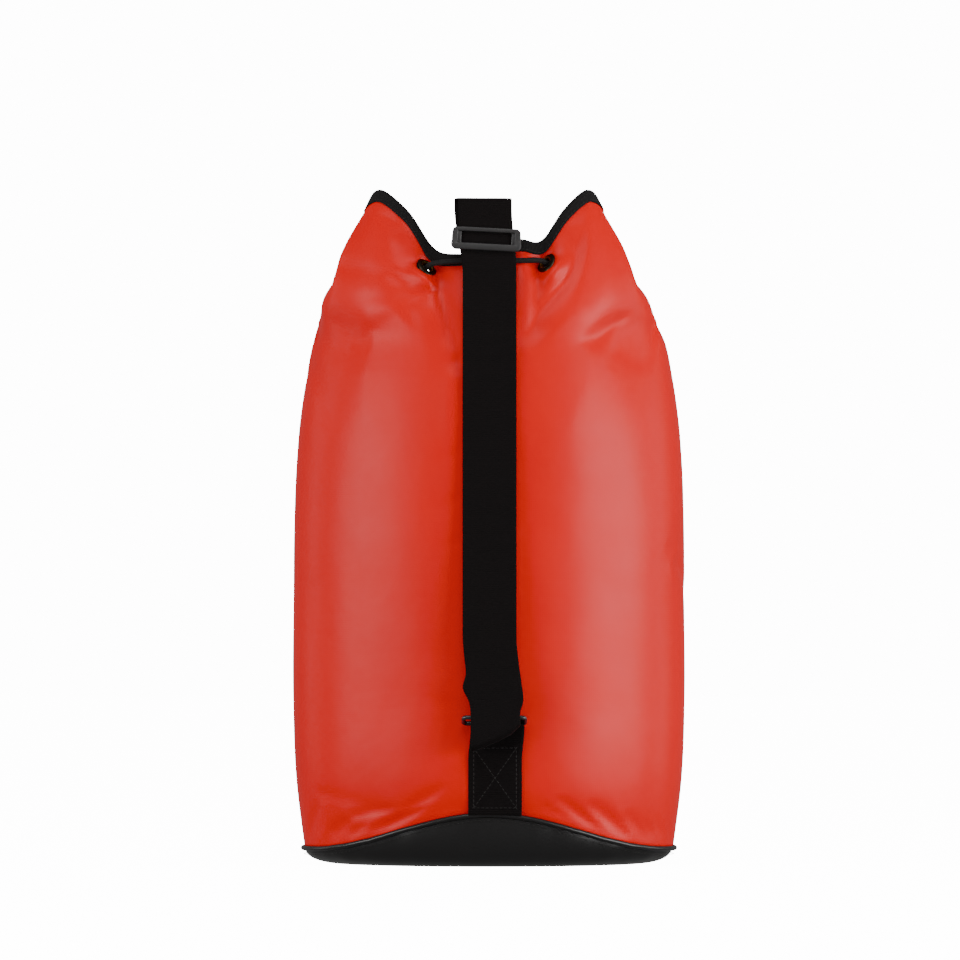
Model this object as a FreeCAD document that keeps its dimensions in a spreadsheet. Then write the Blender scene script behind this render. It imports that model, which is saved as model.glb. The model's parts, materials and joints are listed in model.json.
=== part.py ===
import FreeCAD, Part
import Sketcher
import math
import os

from FreeCAD import Placement, Rotation, Vector

# A soft kit bag that stands on its base: a coated-fabric tube with an oval base panel, a
# bound mouth with eyelets and a drawcord, and an adjustable webbing strap down its front.
# Frame: millimetres, +Z up, the front faces -Y, origin at the middle of the base on the floor.

os.makedirs("parts", exist_ok=True)
doc = FreeCAD.newDocument("kit_bag")

# ---------------------------------------------------------------- driving dimensions

SIZES = {
    "bag_height": 609.0,
    "bag_width": 352.0,
    "bag_depth": 246.0,
    "wall": 2.0,
    "seam_side_height": 14.5,
    "seam_arch": 33.5,
    "piping_depth": 3.0,
    "piping_height": 4.4,
    "mouth_dip": 61.0,
    "dip_half_width": 24.0,
    "ear_half_width": 92.0,
    "ear_half_depth": 72.0,
    "ear_round": 5.0,
    "dip_round": 26.0,
    "binding_width": 10.0,
    "binding_thickness": 1.2,
    "eyelet_bore": 10.0,
    "eyelet_barrel": 0.8,
    "eyelet_outer": 20.0,
    "eyelet_flange": 1.0,
    "eyelet_setback": 26.0,
    "eyelet_spacing": 107.0,
    "eyelet_play": 0.1,
    "eyelet_curl": 0.6,
    "washer_play": 0.05,
    "washer_inset": 0.8,
    "washer_gap": 0.7,
    "cord_diameter": 5.0,
    "cord_reach": 12.0,
    "webbing_width": 48.0,
    "webbing_thickness": 1.6,
    "ring_bar": 4.0,
    "ring_pitch": 13.6,
    "ring_tilt": 24.0,
    "ring_side_play": 1.2,
    "ring_height": 129.5,
    "ring_play": 4.0,
    "ring_loop_play": 0.2,
    "tab_gap": 0.6,
    "sewn_gap": 0.1,
    "tab_bend": 12.0,
    "tab_front_bend": 8.0,
    "tab_neck_bend": 3.0,
    "strap_top_drop": 8.0,
    "strap_stand_off": 8.0,
    "strap_fold_radius": 6.2,
    "strap_bend": 30.0,
    "strap_low_bend": 8.0,
    "strap_end_gap": 8.0,
    "tail_end_gap": 4.0,
    "layer_gap": 0.8,
    "layers_meet": 52.0,
    "slider_drop": 46.0,
    "slider_width": 62.0,
    "slider_length": 20.0,
    "slider_bar": 4.6,
    "slider_depth": 4.2,
    "slider_centre_bar": 3.4,
    "slider_play": 0.4,
    "slider_centre_height": 7.0,
    "slider_loop_play": 0.2,
    "end_length": 26.0,
    "end_bend": 5.0,
    "end_fold_start": 2.0,
    "end_fold_finish": 9.0,
    "cord_front_stand_off": 4.4,
    "cord_stand_off": 6.0,
    "cord_end_gap": 0.4,
    "cord_bend_share": 0.45,
}

sheet = doc.addObject("Spreadsheet::Sheet", "Sizes")
for row, (name, value) in enumerate(SIZES.items(), start=1):
    sheet.set(f"A{row}", name)
    sheet.set(f"B{row}", str(value))
    sheet.setAlias(f"B{row}", name)
doc.recompute()


def size(name):
    """The value of a cell of the sheet, as a number."""
    return float(sheet.get(name))


# Outline of the filled bag: share of the height, of the half width and of the half depth.
STATIONS = [
    (0.000, 0.700, 0.700),
    (0.024, 0.935, 0.900),
    (0.125, 0.977, 0.955),
    (0.394, 1.000, 0.985),
    (0.598, 0.989, 0.905),
    (0.746, 0.926, 0.840),
    (0.887, 0.750, 0.775),
    (1.030, 0.700, 0.800),
]
# The seam's arch going from the front to the back: share of the depth, share of the arch that is left.
ARCH_FADE = [(-0.60, 1.0), (-0.28, 1.0), (-0.10, 0.55), (0.10, 0.0), (0.60, 0.0)]
# The arch reaches this share of the width to each side.
ARCH_REACH = 0.47
# The cutters run this far past the bag.
MARGIN = 40.0
EYELET_PAIRS = 4
STRAIGHT_OUT = Vector(0, -1, 0)

# ---------------------------------------------------------------- helpers


def shaped(label, shape, placement=None):
    """A document object that holds a shape made with Part's functions."""
    feature = doc.addObject("Part::Feature", label)
    feature.Label = label
    feature.Shape = shape
    if placement is not None:
        feature.Placement = placement
    return feature


def boolean(kind, label, base, tool):
    """A cut, fuse or common of two document objects."""
    feature = doc.addObject(kind, label)
    feature.Label = label
    feature.Base = base
    feature.Tool = tool
    return feature


def bag_form(label, offset):
    """A solid loft through the bag's stations, grown by the offset (an expression in mm)."""
    rings = []
    for index, (rise, across, deep) in enumerate(STATIONS):
        ring = doc.addObject("Part::Ellipse", f"{label}_ring")
        ring.setExpression("MajorRadius", f"(Sizes.bag_width / 2 * {across} + {offset}) * 1 mm")
        ring.setExpression("MinorRadius", f"(Sizes.bag_depth / 2 * {deep} + {offset}) * 1 mm")
        lift = f"Sizes.bag_height * {rise}"
        if index == 0:
            lift = f"-1 * ({offset})"
        ring.setExpression("Placement.Base.z", f"({lift}) * 1 mm")
        rings.append(ring)
    form = doc.addObject("Part::Loft", label)
    form.Sections = rings
    form.Solid = True
    form.Ruled = False
    return form


def corner(before, point, after, radius):
    """The two tangent points of a corner of that radius, and the arc's middle point."""
    back = (before - point).normalize()
    onward = (after - point).normalize()
    half = back.getAngle(onward) / 2
    reach = radius / math.tan(half)
    middle = (back + onward).normalize()
    top = point + middle * (radius / math.sin(half) - radius)
    return point + back * reach, top, point + onward * reach


def rounded_edges(points, radii):
    """Edges of the line through the points, with an arc at each inner point."""
    edges = []
    last = points[0]
    for index in range(1, len(points) - 1):
        start, top, end = corner(points[index - 1], points[index], points[index + 1], radii[index - 1])
        if (start - last).Length > 1e-3:
            edges.append(Part.LineSegment(last, start).toShape())
        edges.append(Part.Arc(start, top, end).toShape())
        last = end
    if (points[-1] - last).Length > 1e-3:
        edges.append(Part.LineSegment(last, points[-1]).toShape())
    return edges


def strip_face(points, radii, thickness):
    """The side view of a strip of webbing that follows the points in the YZ plane."""
    sides = []
    for side in (1.0, -1.0):
        moved = []
        bends = []
        for index, point in enumerate(points):
            before = points[max(index - 1, 0)]
            after = points[min(index + 1, len(points) - 1)]
            arrive = (point - before if index else after - point).normalize()
            leave = (after - point if index < len(points) - 1 else point - before).normalize()
            left_in = Vector(0, -arrive.z, arrive.y)
            left_out = Vector(0, -leave.z, leave.y)
            split = (left_in + left_out).normalize()
            moved.append(point + split * (side * thickness / 2 / split.dot(left_in)))
            if 0 < index < len(points) - 1:
                turn = arrive.y * leave.z - arrive.z * leave.y
                bends.append(radii[index - 1] - math.copysign(thickness / 2, turn) * side)
        sides.append((moved, bends))
    (left, left_bends), (right, right_bends) = sides
    edges = rounded_edges(left, left_bends)
    edges.append(Part.LineSegment(left[-1], right[-1]).toShape())
    edges += rounded_edges(right[::-1], right_bends[::-1])
    edges.append(Part.LineSegment(right[0], left[0]).toShape())
    return Part.Face(Part.Wire(Part.__sortEdges__(edges)))


def webbing(label, points, radii, placement=None):
    """A strip of webbing of the full width: its side view, extruded both ways along X."""
    profile = shaped(f"{label}_side_view", strip_face(points, radii, size("webbing_thickness")))
    strip = doc.addObject("Part::Extrusion", label)
    strip.Label = label
    strip.Base = profile
    strip.DirMode = "Custom"
    strip.Dir = Vector(1, 0, 0)
    strip.Symmetric = True
    strip.Solid = True
    strip.setExpression("LengthFwd", "Sizes.webbing_width")
    if placement is not None:
        strip.Placement = placement
    return strip


def surface_point(form, height, direction):
    """Where a level ray from the bag's axis leaves the form, and the outward normal there."""
    centre = Vector(0, 0, height)
    far = centre + direction * (size("bag_width") + size("bag_depth"))
    inside = form.Shape.common(Part.LineSegment(centre, far).toShape())
    point = max((vertex.Point for vertex in inside.Vertexes), key=lambda p: (p - centre).Length)
    best = min(form.Shape.Faces, key=lambda face: face.distToShape(Part.Vertex(point))[0])
    across, along = best.Surface.parameter(point)
    normal = best.normalAt(across, along)
    if normal.dot(direction) < 0:
        normal = normal * -1.0
    return point, normal


# ---------------------------------------------------------------- cutters

def below_seam(label, raise_by):
    """Everything under the seam between tube and base, which arches up at the front."""
    half_width = size("bag_width") * ARCH_REACH
    side = size("bag_width")
    floor = -MARGIN
    sections = []
    for share, fade in ARCH_FADE:
        depth = share * size("bag_depth") * 1.2
        crest = []
        for step in range(-4, 5):
            across = half_width * step / 4
            lift = fade * size("seam_arch") * (1 + math.cos(math.pi * step / 4)) / 2
            crest.append(Vector(across, depth, size("seam_side_height") + raise_by + lift))
        curve = Part.BSplineCurve()
        level = Vector(1, 0, 0)
        curve.interpolate(Points=crest, InitialTangent=level, FinalTangent=level)
        left = Vector(-side, depth, crest[0].z)
        right = Vector(side, depth, crest[-1].z)
        corners = [right, Vector(side, depth, floor), Vector(-side, depth, floor), left]
        edges = [Part.LineSegment(left, crest[0]).toShape(), curve.toShape()]
        edges.append(Part.LineSegment(crest[-1], right).toShape())
        edges += [Part.LineSegment(a, b).toShape() for a, b in zip(corners, corners[1:])]
        sections.append(Part.Wire(edges))
    return shaped(label, Part.makeLoft(sections, True, True))


def above_mouth(label, raise_by):
    """Everything over the mouth's edge: a wide V seen from the front, and one from the side."""
    top = size("bag_height") + raise_by
    dip = top - size("mouth_dip")
    sky = top + MARGIN
    prisms = []
    for ear, turn in ((size("ear_half_width"), 0.0), (size("ear_half_depth"), 90.0)):
        reach = size("bag_width")
        flat = size("dip_half_width") * ear / size("ear_half_width")
        line = [(-reach, top), (-ear, top), (-flat, dip), (flat, dip), (ear, top), (reach, top)]
        points = [Vector(across, -reach, height) for across, height in line]
        ear_round = size("ear_round")
        dip_round = size("dip_round")
        edges = rounded_edges(points, [ear_round, dip_round, dip_round, ear_round])
        lid = [points[-1], Vector(reach, -reach, sky), Vector(-reach, -reach, sky), points[0]]
        edges += [Part.LineSegment(a, b).toShape() for a, b in zip(lid, lid[1:])]
        prism = Part.Face(Part.Wire(edges)).extrude(Vector(0, 2 * reach, 0))
        prism.Placement = Placement(Vector(0, 0, 0), Rotation(Vector(0, 0, 1), turn))
        prisms.append(prism)
    return shaped(label, prisms[0].fuse(prisms[1]))


# ---------------------------------------------------------------- tube, base, piping, binding

outer_form = bag_form("outer_form", "0")
inner_form = bag_form("inner_form", "-1 * Sizes.wall")
piping_form = bag_form("piping_form", "Sizes.piping_depth")
binding_form = bag_form("binding_form", "Sizes.binding_thickness")
lining_form = bag_form("lining_form", "-1 * (Sizes.wall + Sizes.binding_thickness)")
doc.recompute()

seam_line = below_seam("seam_line", 0.0)
seam_low = below_seam("seam_low", -size("piping_height") / 2)
seam_high = below_seam("seam_high", size("piping_height") / 2)
mouth_line = above_mouth("mouth_line", 0.0)
mouth_low = above_mouth("mouth_low", -size("binding_width"))
mouth_high = above_mouth("mouth_high", size("binding_thickness"))

full_skin = boolean("Part::Cut", "full_skin", outer_form, inner_form)
open_skin = boolean("Part::Cut", "open_skin", full_skin, mouth_line)
tube = boolean("Part::Cut", "tube", open_skin, seam_line)
base_panel = boolean("Part::Common", "base_panel", full_skin, seam_line)

piping_skin = boolean("Part::Cut", "piping_skin", piping_form, outer_form)
piping_top = boolean("Part::Common", "piping_top", piping_skin, seam_high)
base_piping = boolean("Part::Cut", "base_piping", piping_top, seam_low)

binding_skin = boolean("Part::Cut", "binding_skin", binding_form, lining_form)
binding_band = boolean("Part::Common", "binding_band", binding_skin, mouth_low)
binding_trim = boolean("Part::Cut", "binding_trim", binding_band, mouth_high)
mouth_binding = boolean("Part::Cut", "mouth_binding", binding_trim, open_skin)
doc.recompute()

# ---------------------------------------------------------------- eyelets


def eyelet_places():
    """Outer surface point and normal of each eyelet, pair by pair, the front pair first."""
    places = []
    half = size("eyelet_spacing") / 2
    rise = size("mouth_dip") / (size("ear_half_width") - size("dip_half_width"))
    over = max(half - size("dip_half_width"), 0.0) * rise / 2
    height = size("bag_height") - size("mouth_dip") + over - size("eyelet_setback")
    for pair in range(EYELET_PAIRS):
        swing = Rotation(Vector(0, 0, 1), 360.0 / EYELET_PAIRS * pair)
        middle, _ = surface_point(outer_form, height, swing.multVec(STRAIGHT_OUT))
        for side in (-1.0, 1.0):
            aim = Vector(middle.x, middle.y, 0) + swing.multVec(Vector(side * half, 0, 0))
            places.append(surface_point(outer_form, height, aim.normalize()))
    return places


def ring_solid(place, bore, outer, start, end):
    """A flat or long ring on the eyelet's axis, between two distances from the surface."""
    point, normal = place
    body = Part.makeCylinder(outer, end - start, point + normal * start, normal)
    return body.cut(Part.makeCylinder(bore, end - start, point + normal * start, normal))


PLACES = eyelet_places()
bore_radius = size("eyelet_bore") / 2
barrel_radius = bore_radius + size("eyelet_barrel")
flange_radius = size("eyelet_outer") / 2
flange_back = size("eyelet_play")
flange_front = flange_back + size("eyelet_flange")
# The flat washer stands off the curved fabric by the fabric's own curve.
washer_top = -size("wall") - size("washer_gap")
washer_bottom = washer_top - size("eyelet_flange")
barrel_end = washer_bottom - size("eyelet_curl")
drill_radius = barrel_radius + size("eyelet_play")
washer_bore = barrel_radius + size("washer_play")
washer_radius = flange_radius - size("washer_inset")

drills = []
eyelets = []
washers = []
for place in PLACES:
    point, normal = place
    deep = 3 * size("wall")
    drills.append(Part.makeCylinder(drill_radius, 2 * deep, point - normal * deep, normal))
    flange = ring_solid(place, bore_radius, flange_radius, flange_back, flange_front)
    barrel = ring_solid(place, bore_radius, barrel_radius, barrel_end, flange_front)
    eyelets.append(flange.fuse(barrel).removeSplitter())
    washers.append(ring_solid(place, washer_bore, washer_radius, washer_bottom, washer_top))
eyelet_holes = shaped("eyelet_holes", Part.makeCompound(drills))
shaped("eyelets", Part.makeCompound(eyelets))
shaped("eyelet_washers", Part.makeCompound(washers))
body_shell = boolean("Part::Cut", "body_shell", tube, eyelet_holes)
doc.recompute()

# ---------------------------------------------------------------- ring, tab and strap places

thick = size("webbing_thickness")
bar_radius = size("ring_bar") / 2
tab_loop = bar_radius + size("ring_loop_play") + thick / 2
front, _ = surface_point(outer_form, size("ring_height"), STRAIGHT_OUT)
rear_bar = Vector(0, front.y - size("tab_gap") - tab_loop - thick / 2, size("ring_height"))
tilt = math.radians(size("ring_tilt"))
pitch = size("ring_pitch")
front_bar = rear_bar + Vector(0, -pitch * math.cos(tilt), pitch * math.sin(tilt))

# The strap is laid out upright about the ring's front bar, then leaned back until it
# stands just in front of the mouth's lowest edge.
dip_height = size("bag_height") - size("mouth_dip")
dip_front, _ = surface_point(outer_form, dip_height, STRAIGHT_OUT)
lean_angle = math.atan2(dip_front.y - size("strap_stand_off") - front_bar.y, dip_height - front_bar.z)
strap_place = Placement(front_bar, Rotation(Vector(1, 0, 0), -math.degrees(lean_angle)))
lean = math.cos(lean_angle)
loop_radius = bar_radius + size("ring_play") + thick / 2
front_layer = -loop_radius
back_layer = front_layer + thick + size("layer_gap")
fold_top = (size("bag_height") - size("strap_top_drop") - front_bar.z) / lean
tail_layer = front_layer + 2 * size("strap_fold_radius")
slider_up = (size("bag_height") - size("slider_drop") - front_bar.z) / lean
half_slider = size("slider_length") / 2

print("ring hinge at", rear_bar, "strap hinge at", front_bar)
print("strap leans", round(math.degrees(lean_angle), 5), "slider at", round(slider_up, 3))

# ---------------------------------------------------------------- tab sewn into the base seam

seam_top = size("seam_side_height") + size("seam_arch") + size("piping_height") / 2
low_front, _ = surface_point(outer_form, seam_top, STRAIGHT_OUT)
tab_foot = seam_top + size("sewn_gap")
sewn_step = thick + size("sewn_gap")
foot_back = low_front.y - size("tab_gap") - thick / 2
foot_front = foot_back - sewn_step
neck = size("ring_height") - 4 * tab_loop
neck_back = front.y - size("tab_gap") - thick / 2
neck_front = neck_back - sewn_step
tab_top = rear_bar.z + tab_loop
tab_route = [
    Vector(0, foot_back, tab_foot),
    Vector(0, neck_back, neck),
    Vector(0, rear_bar.y + tab_loop, tab_top),
    Vector(0, rear_bar.y - tab_loop, tab_top),
    Vector(0, rear_bar.y - tab_loop, rear_bar.z - tab_loop),
    Vector(0, neck_front, neck),
    Vector(0, foot_front, tab_foot),
]
tab_bends = [size("tab_bend"), tab_loop, tab_loop, size("tab_neck_bend"), size("tab_front_bend")]
webbing("strap_tab", tab_route, tab_bends)

# ---------------------------------------------------------------- lower ring


def rounded_box(across, deep, high, radius, centre):
    """A box with its four upright edges rounded."""
    corner_point = centre - Vector(across / 2, deep / 2, high / 2)
    box = Part.makeBox(across, deep, high, corner_point)
    upright = [edge for edge in box.Edges if abs(edge.Vertexes[0].Z - edge.Vertexes[1].Z) > high / 2]
    return box.makeFillet(radius, upright)


# The bar's edges are rounded by this share of its thickness, which makes it nearly a round wire.
RING_ROUND = 0.42
bar = size("ring_bar")
window_width = size("webbing_width") + 2 * size("ring_side_play")
ring_middle = Vector(0, -pitch / 2, 0)
ring_outside = rounded_box(window_width + 2 * bar, pitch + bar, bar, bar, ring_middle)
ring_window = rounded_box(window_width, pitch - bar, 2 * bar, bar / 4, ring_middle)
ring_blank = ring_outside.cut(ring_window)
ring_shape = ring_blank.makeFillet(bar * RING_ROUND, ring_blank.Edges)
ring_place = Placement(rear_bar, Rotation(Vector(1, 0, 0), -size("ring_tilt")))
shaped("lower_ring", ring_shape, ring_place)

# ---------------------------------------------------------------- shoulder strap

strap_route = [
    Vector(0, back_layer, slider_up - half_slider - size("strap_end_gap")),
    Vector(0, back_layer, size("layers_meet")),
    Vector(0, loop_radius, loop_radius),
    Vector(0, loop_radius, -loop_radius),
    Vector(0, front_layer, -loop_radius),
    Vector(0, front_layer, fold_top),
    Vector(0, tail_layer, fold_top),
    Vector(0, tail_layer, slider_up - half_slider + size("tail_end_gap")),
]
fold_bend = size("strap_fold_radius")
ring_bends = [size("strap_bend"), size("strap_low_bend"), loop_radius, loop_radius]
strap_bends = ring_bends + [fold_bend, fold_bend]
webbing("shoulder_strap", strap_route, strap_bends, strap_place)

# ---------------------------------------------------------------- slider on the strap

slider_place = strap_place.multiply(Placement(Vector(0, 0, slider_up), Rotation()))
slider_body = doc.addObject("PartDesign::Body", "slider_frame")
slider_body.Label = "slider_frame"
upright_plane = next(f for f in slider_body.Origin.OriginFeatures if f.Role == "XZ_Plane")

# Distances in front of the strap's own axis, kept in the sheet for the slider's sketches.
loop_play = size("slider_loop_play")
frame_back = -front_layer + thick / 2 + size("slider_play")
bar_front = -back_layer - thick / 2 - size("slider_play") - thick - loop_play
derived = {
    "frame_front": frame_back + size("slider_depth"),
    "frame_back": frame_back,
    "centre_bar_front": bar_front,
    "centre_bar_back": bar_front - size("slider_centre_bar"),
}
for row, (name, value) in enumerate(derived.items(), start=1):
    sheet.set(f"D{row}", str(value))
    sheet.setAlias(f"D{row}", name)
doc.recompute()


def rectangle_sketch(name, width, length, depth):
    """A centred rectangle on the body's upright plane; its sizes are expressions of the sheet."""
    sketch = slider_body.newObject("Sketcher::SketchObject", name)
    sketch.AttachmentSupport = [(upright_plane, "")]
    sketch.MapMode = "FlatFace"
    sketch.setExpression("AttachmentOffset.Base.z", f"({depth}) * 1 mm")
    ends = [Vector(-10, -5, 0), Vector(10, -5, 0), Vector(10, 5, 0), Vector(-10, 5, 0)]
    for index in range(4):
        sketch.addGeometry(Part.LineSegment(ends[index], ends[(index + 1) % 4]), False)
    for index in range(4):
        sketch.addConstraint(Sketcher.Constraint("Coincident", index, 2, (index + 1) % 4, 1))
    for index, kind in enumerate(("Horizontal", "Vertical", "Horizontal", "Vertical")):
        sketch.addConstraint(Sketcher.Constraint(kind, index))
    sketch.addConstraint(Sketcher.Constraint("Symmetric", 0, 1, 1, 2, -1, 1))
    wide = sketch.addConstraint(Sketcher.Constraint("DistanceX", 0, 1, 0, 2, 20.0))
    tall = sketch.addConstraint(Sketcher.Constraint("DistanceY", 1, 1, 1, 2, 10.0))
    sketch.setExpression(f"Constraints[{wide}]", f"({width}) * 1 mm")
    sketch.setExpression(f"Constraints[{tall}]", f"({length}) * 1 mm")
    return sketch


def slider_step(kind, name, across, up, start, end):
    """A centred pad or pocket of the slider between two distances in front of the axis."""
    sketch = rectangle_sketch(f"{name}_sketch", across, up, start)
    feature = slider_body.newObject(f"PartDesign::{kind}", name)
    feature.Profile = sketch
    feature.setExpression("Length", f"({start} - ({end})) * 1 mm")
    feature.Reversed = kind == "Pad"
    before = slider_body.Shape.Volume if kind == "Pocket" else 0.0
    doc.recompute()
    if kind == "Pocket" and slider_body.Shape.Volume > before - 1.0:
        raise ValueError(f"{name} cuts nothing")


outline_across = "Sizes.slider_width"
window_across = "Sizes.slider_width - 2 * Sizes.slider_bar"
window_up = "Sizes.slider_length - 2 * Sizes.slider_bar"
bar_up = "Sizes.slider_centre_height"
frame_up = "Sizes.slider_length"
front_face = "Sizes.frame_front"
back_face = "Sizes.frame_back"
slider_step("Pad", "front_frame", outline_across, frame_up, front_face, back_face)
slider_step("Pocket", "window", window_across, window_up, front_face, back_face)
slider_step("Pad", "cheeks", outline_across, bar_up, back_face, "Sizes.centre_bar_back")
channel_across = "Sizes.webbing_width + 4 * Sizes.slider_play"
slider_step("Pocket", "channel", channel_across, bar_up, back_face, "Sizes.centre_bar_front")
slider_body.Placement = slider_place

half_bar = size("slider_centre_height") / 2
loop_front = -bar_front - loop_play - thick / 2
loop_back = -derived["centre_bar_back"] + loop_play + thick / 2
loop_bend = (loop_back - loop_front) / 2
loop_top = half_bar + loop_bend
second_layer = loop_front + sewn_step
end_route = [
    Vector(0, loop_front, -size("end_length")),
    Vector(0, loop_front, loop_top),
    Vector(0, loop_back, loop_top),
    Vector(0, loop_back, -half_bar - size("end_fold_start")),
    Vector(0, second_layer, -half_bar - size("end_fold_finish")),
    Vector(0, second_layer, -size("end_length")),
]
end_bends = [loop_bend, loop_bend, size("end_bend"), size("end_bend")]
webbing("slider_webbing_end", end_route, end_bends, slider_place)

# ---------------------------------------------------------------- drawcord


def cord_route():
    """Points of the cord, in and out of the eyelets, from the front's middle round to itself."""
    reach = size("cord_reach")
    route = []
    for index, (point, normal) in enumerate(PLACES):
        outside = point + normal * reach
        inside = point - normal * (reach + size("wall"))
        route.append([inside, outside] if index % 2 == 0 else [outside, inside])
    points = []
    for index, pair in enumerate(route):
        points += pair
        if index % 2 == 0:
            crest = (PLACES[index][0] + PLACES[index + 1][0]) / 2
            level = surface_point(outer_form, crest.z, Vector(crest.x, crest.y, 0).normalize())
            stand_off = size("cord_front_stand_off") if index == 0 else size("cord_stand_off")
            points.append(level[0] + level[1] * stand_off)
    return points


def cord_tube(label, points, diameter):
    """A tube along straight runs with tangent arcs, and the check of its volume."""
    radii = []
    for index in range(1, len(points) - 1):
        back = points[index - 1] - points[index]
        onward = points[index + 1] - points[index]
        half_turn = (math.pi - back.getAngle(onward)) / 2
        reach = size("cord_bend_share") * min(back.Length, onward.Length)
        radii.append(reach / math.tan(half_turn))
    path = Part.Wire(rounded_edges(points, radii))
    start = points[0]
    heading = (points[1] - points[0]).normalize()
    section = Part.Wire(Part.Circle(start, heading, diameter / 2).toShape())
    tube = path.makePipeShell([section], True, True)
    expected = path.Length * math.pi * diameter ** 2 / 4
    print(label, "length", round(path.Length), "volume ratio", round(tube.Volume / expected, 4))
    print(label, "radii", [round(radius, 1) for radius in radii])
    return shaped(label, tube)


loop_points = cord_route()
front_middle = loop_points[2]
gap = Vector(size("cord_end_gap") / 2, 0, 0)
order = [front_middle + gap] + loop_points[3:] + loop_points[:2] + [front_middle - gap]
cord_tube("drawcord", order, size("cord_diameter"))
doc.recompute()

# ---------------------------------------------------------------- check and write

NODES = (
    "body_shell", "base_panel", "base_piping", "mouth_binding", "eyelets", "eyelet_washers",
    "drawcord", "strap_tab", "lower_ring", "shoulder_strap", "slider_frame", "slider_webbing_end",
)
for item in doc.Objects:
    if "Invalid" in item.State or "Error" in item.State:
        raise ValueError(f"{item.Label} failed: {item.State}")
for label in NODES:
    node = doc.getObjectsByLabel(label)[0]
    if node.Shape.isNull() or not node.Shape.isValid() or not node.Shape.Solids:
        raise ValueError(f"{label} has no valid solid")
for label in NODES:
    node = doc.getObjectsByLabel(label)[0]
    node.Shape.exportStep(f"parts/{label}.step")
    print(label, len(node.Shape.Solids), round(node.Shape.Volume))
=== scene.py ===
import json
import math

import bmesh
import bpy
import numpy as np
from bpy.props import FloatProperty, IntProperty, PointerProperty, StringProperty
from mathutils import Matrix, Vector


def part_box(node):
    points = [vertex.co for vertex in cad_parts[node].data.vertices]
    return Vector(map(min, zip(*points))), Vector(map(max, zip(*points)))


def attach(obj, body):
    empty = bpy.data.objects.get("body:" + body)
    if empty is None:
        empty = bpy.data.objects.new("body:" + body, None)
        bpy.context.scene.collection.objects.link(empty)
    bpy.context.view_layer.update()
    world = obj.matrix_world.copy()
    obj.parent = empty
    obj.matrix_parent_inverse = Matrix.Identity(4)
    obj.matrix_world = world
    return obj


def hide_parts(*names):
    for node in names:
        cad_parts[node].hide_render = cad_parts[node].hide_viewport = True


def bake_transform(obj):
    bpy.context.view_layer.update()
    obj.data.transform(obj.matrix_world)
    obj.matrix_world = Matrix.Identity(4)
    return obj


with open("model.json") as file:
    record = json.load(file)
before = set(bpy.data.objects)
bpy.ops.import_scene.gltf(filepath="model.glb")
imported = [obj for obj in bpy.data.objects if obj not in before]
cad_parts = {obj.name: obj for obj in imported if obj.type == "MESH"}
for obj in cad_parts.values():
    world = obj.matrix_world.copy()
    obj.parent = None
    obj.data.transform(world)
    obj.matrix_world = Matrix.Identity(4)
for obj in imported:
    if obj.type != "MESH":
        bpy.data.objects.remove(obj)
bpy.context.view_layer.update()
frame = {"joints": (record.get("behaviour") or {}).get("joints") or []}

bl_info = {
    "name": "Drawcord Kit Bag",
    "version": (1, 0, 0),
    "blender": (4, 5, 0),
    "location": "View3D > Sidebar > Kit Bag",
    "description": "Builds a coated-fabric kit bag with a drawcord mouth and a webbing strap",
    "category": "Object",
}

# Lengths are metres in the part's own frame: +Z up, the strap's side faces -Y.
MM = 0.001
JOINTS = {joint["name"]: joint for joint in frame["joints"]}
FRONT_BAR = Vector(JOINTS["strap_swing"]["pos_m"])
REAR_BAR = Vector(JOINTS["ring_hinge"]["pos_m"])
STRAP_UP = Vector(JOINTS["slider_slide"]["axis"])
LEAN = Matrix.Rotation(-math.atan2(STRAP_UP.y, STRAP_UP.z), 4, "X")
STRAP_PLACE = Matrix.Translation(FRONT_BAR) @ LEAN
BAG_HALF_WIDTH = (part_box("body_shell")[1].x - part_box("body_shell")[0].x) / 2
BAG_HALF_DEPTH = (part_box("body_shell")[1].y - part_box("body_shell")[0].y) / 2


# ------------------------------------------------------------------ settings


def length(name, description, default):
    """A length setting in metres."""
    return FloatProperty(name=name, description=description, default=default, min=0.0,
                         unit="LENGTH", precision=4)


def colour(name, description, default):
    """A colour setting as an sRGB hex value."""
    return StringProperty(name=name, description=description, default=default)


class KitBagSizes(bpy.types.PropertyGroup):
    """Sizes of the bag's cloth parts"""

    fabric: length("Fabric", "Thickness of the coated fabric", 0.9 * MM)
    seam_side: length("Seam height", "Height of the base seam at the sides", 14.5 * MM)
    seam_arch: length("Seam arch", "How far the strap lifts the base seam at the front", 33.5 * MM)
    piping: length("Piping", "Diameter of the piping round the base", 4.6 * MM)
    binding: length("Binding", "Width of the binding that shows", 10.5 * MM)
    binding_thick: length("Binding thickness", "Thickness of the binding tape", 1.1 * MM)
    eyelet_drop: length("Eyelet drop", "Distance of the eyelets below the mouth's edge", 21.0 * MM)
    eyelet_outer: length("Eyelet", "Outer diameter of an eyelet", 20.0 * MM)
    eyelet_bore: length("Eyelet bore", "Inner diameter of an eyelet", 10.0 * MM)
    cord: length("Cord", "Diameter of the drawcord", 5.0 * MM)
    around: IntProperty(name="Columns", description="Mesh columns round the tube", default=208, min=64)
    rows: IntProperty(name="Rows", description="Mesh rows up the tube", default=136, min=40)


class KitBagStrap(bpy.types.PropertyGroup):
    """Sizes of the strap and its hardware"""

    width: length("Webbing width", "Width of the webbing", 48.0 * MM)
    thick: length("Webbing thickness", "Thickness of the webbing", 1.6 * MM)
    rib: length("Rib spacing", "Distance between the ribs of the weave", 1.7 * MM)
    slider_bar: length("Slider bar", "Width of the slider's frame", 4.6 * MM)
    stitch: length("Stitch", "Length of one stitch", 3.2 * MM)
    thread: length("Thread", "Thickness of the sewing thread", 0.55 * MM)


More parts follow.
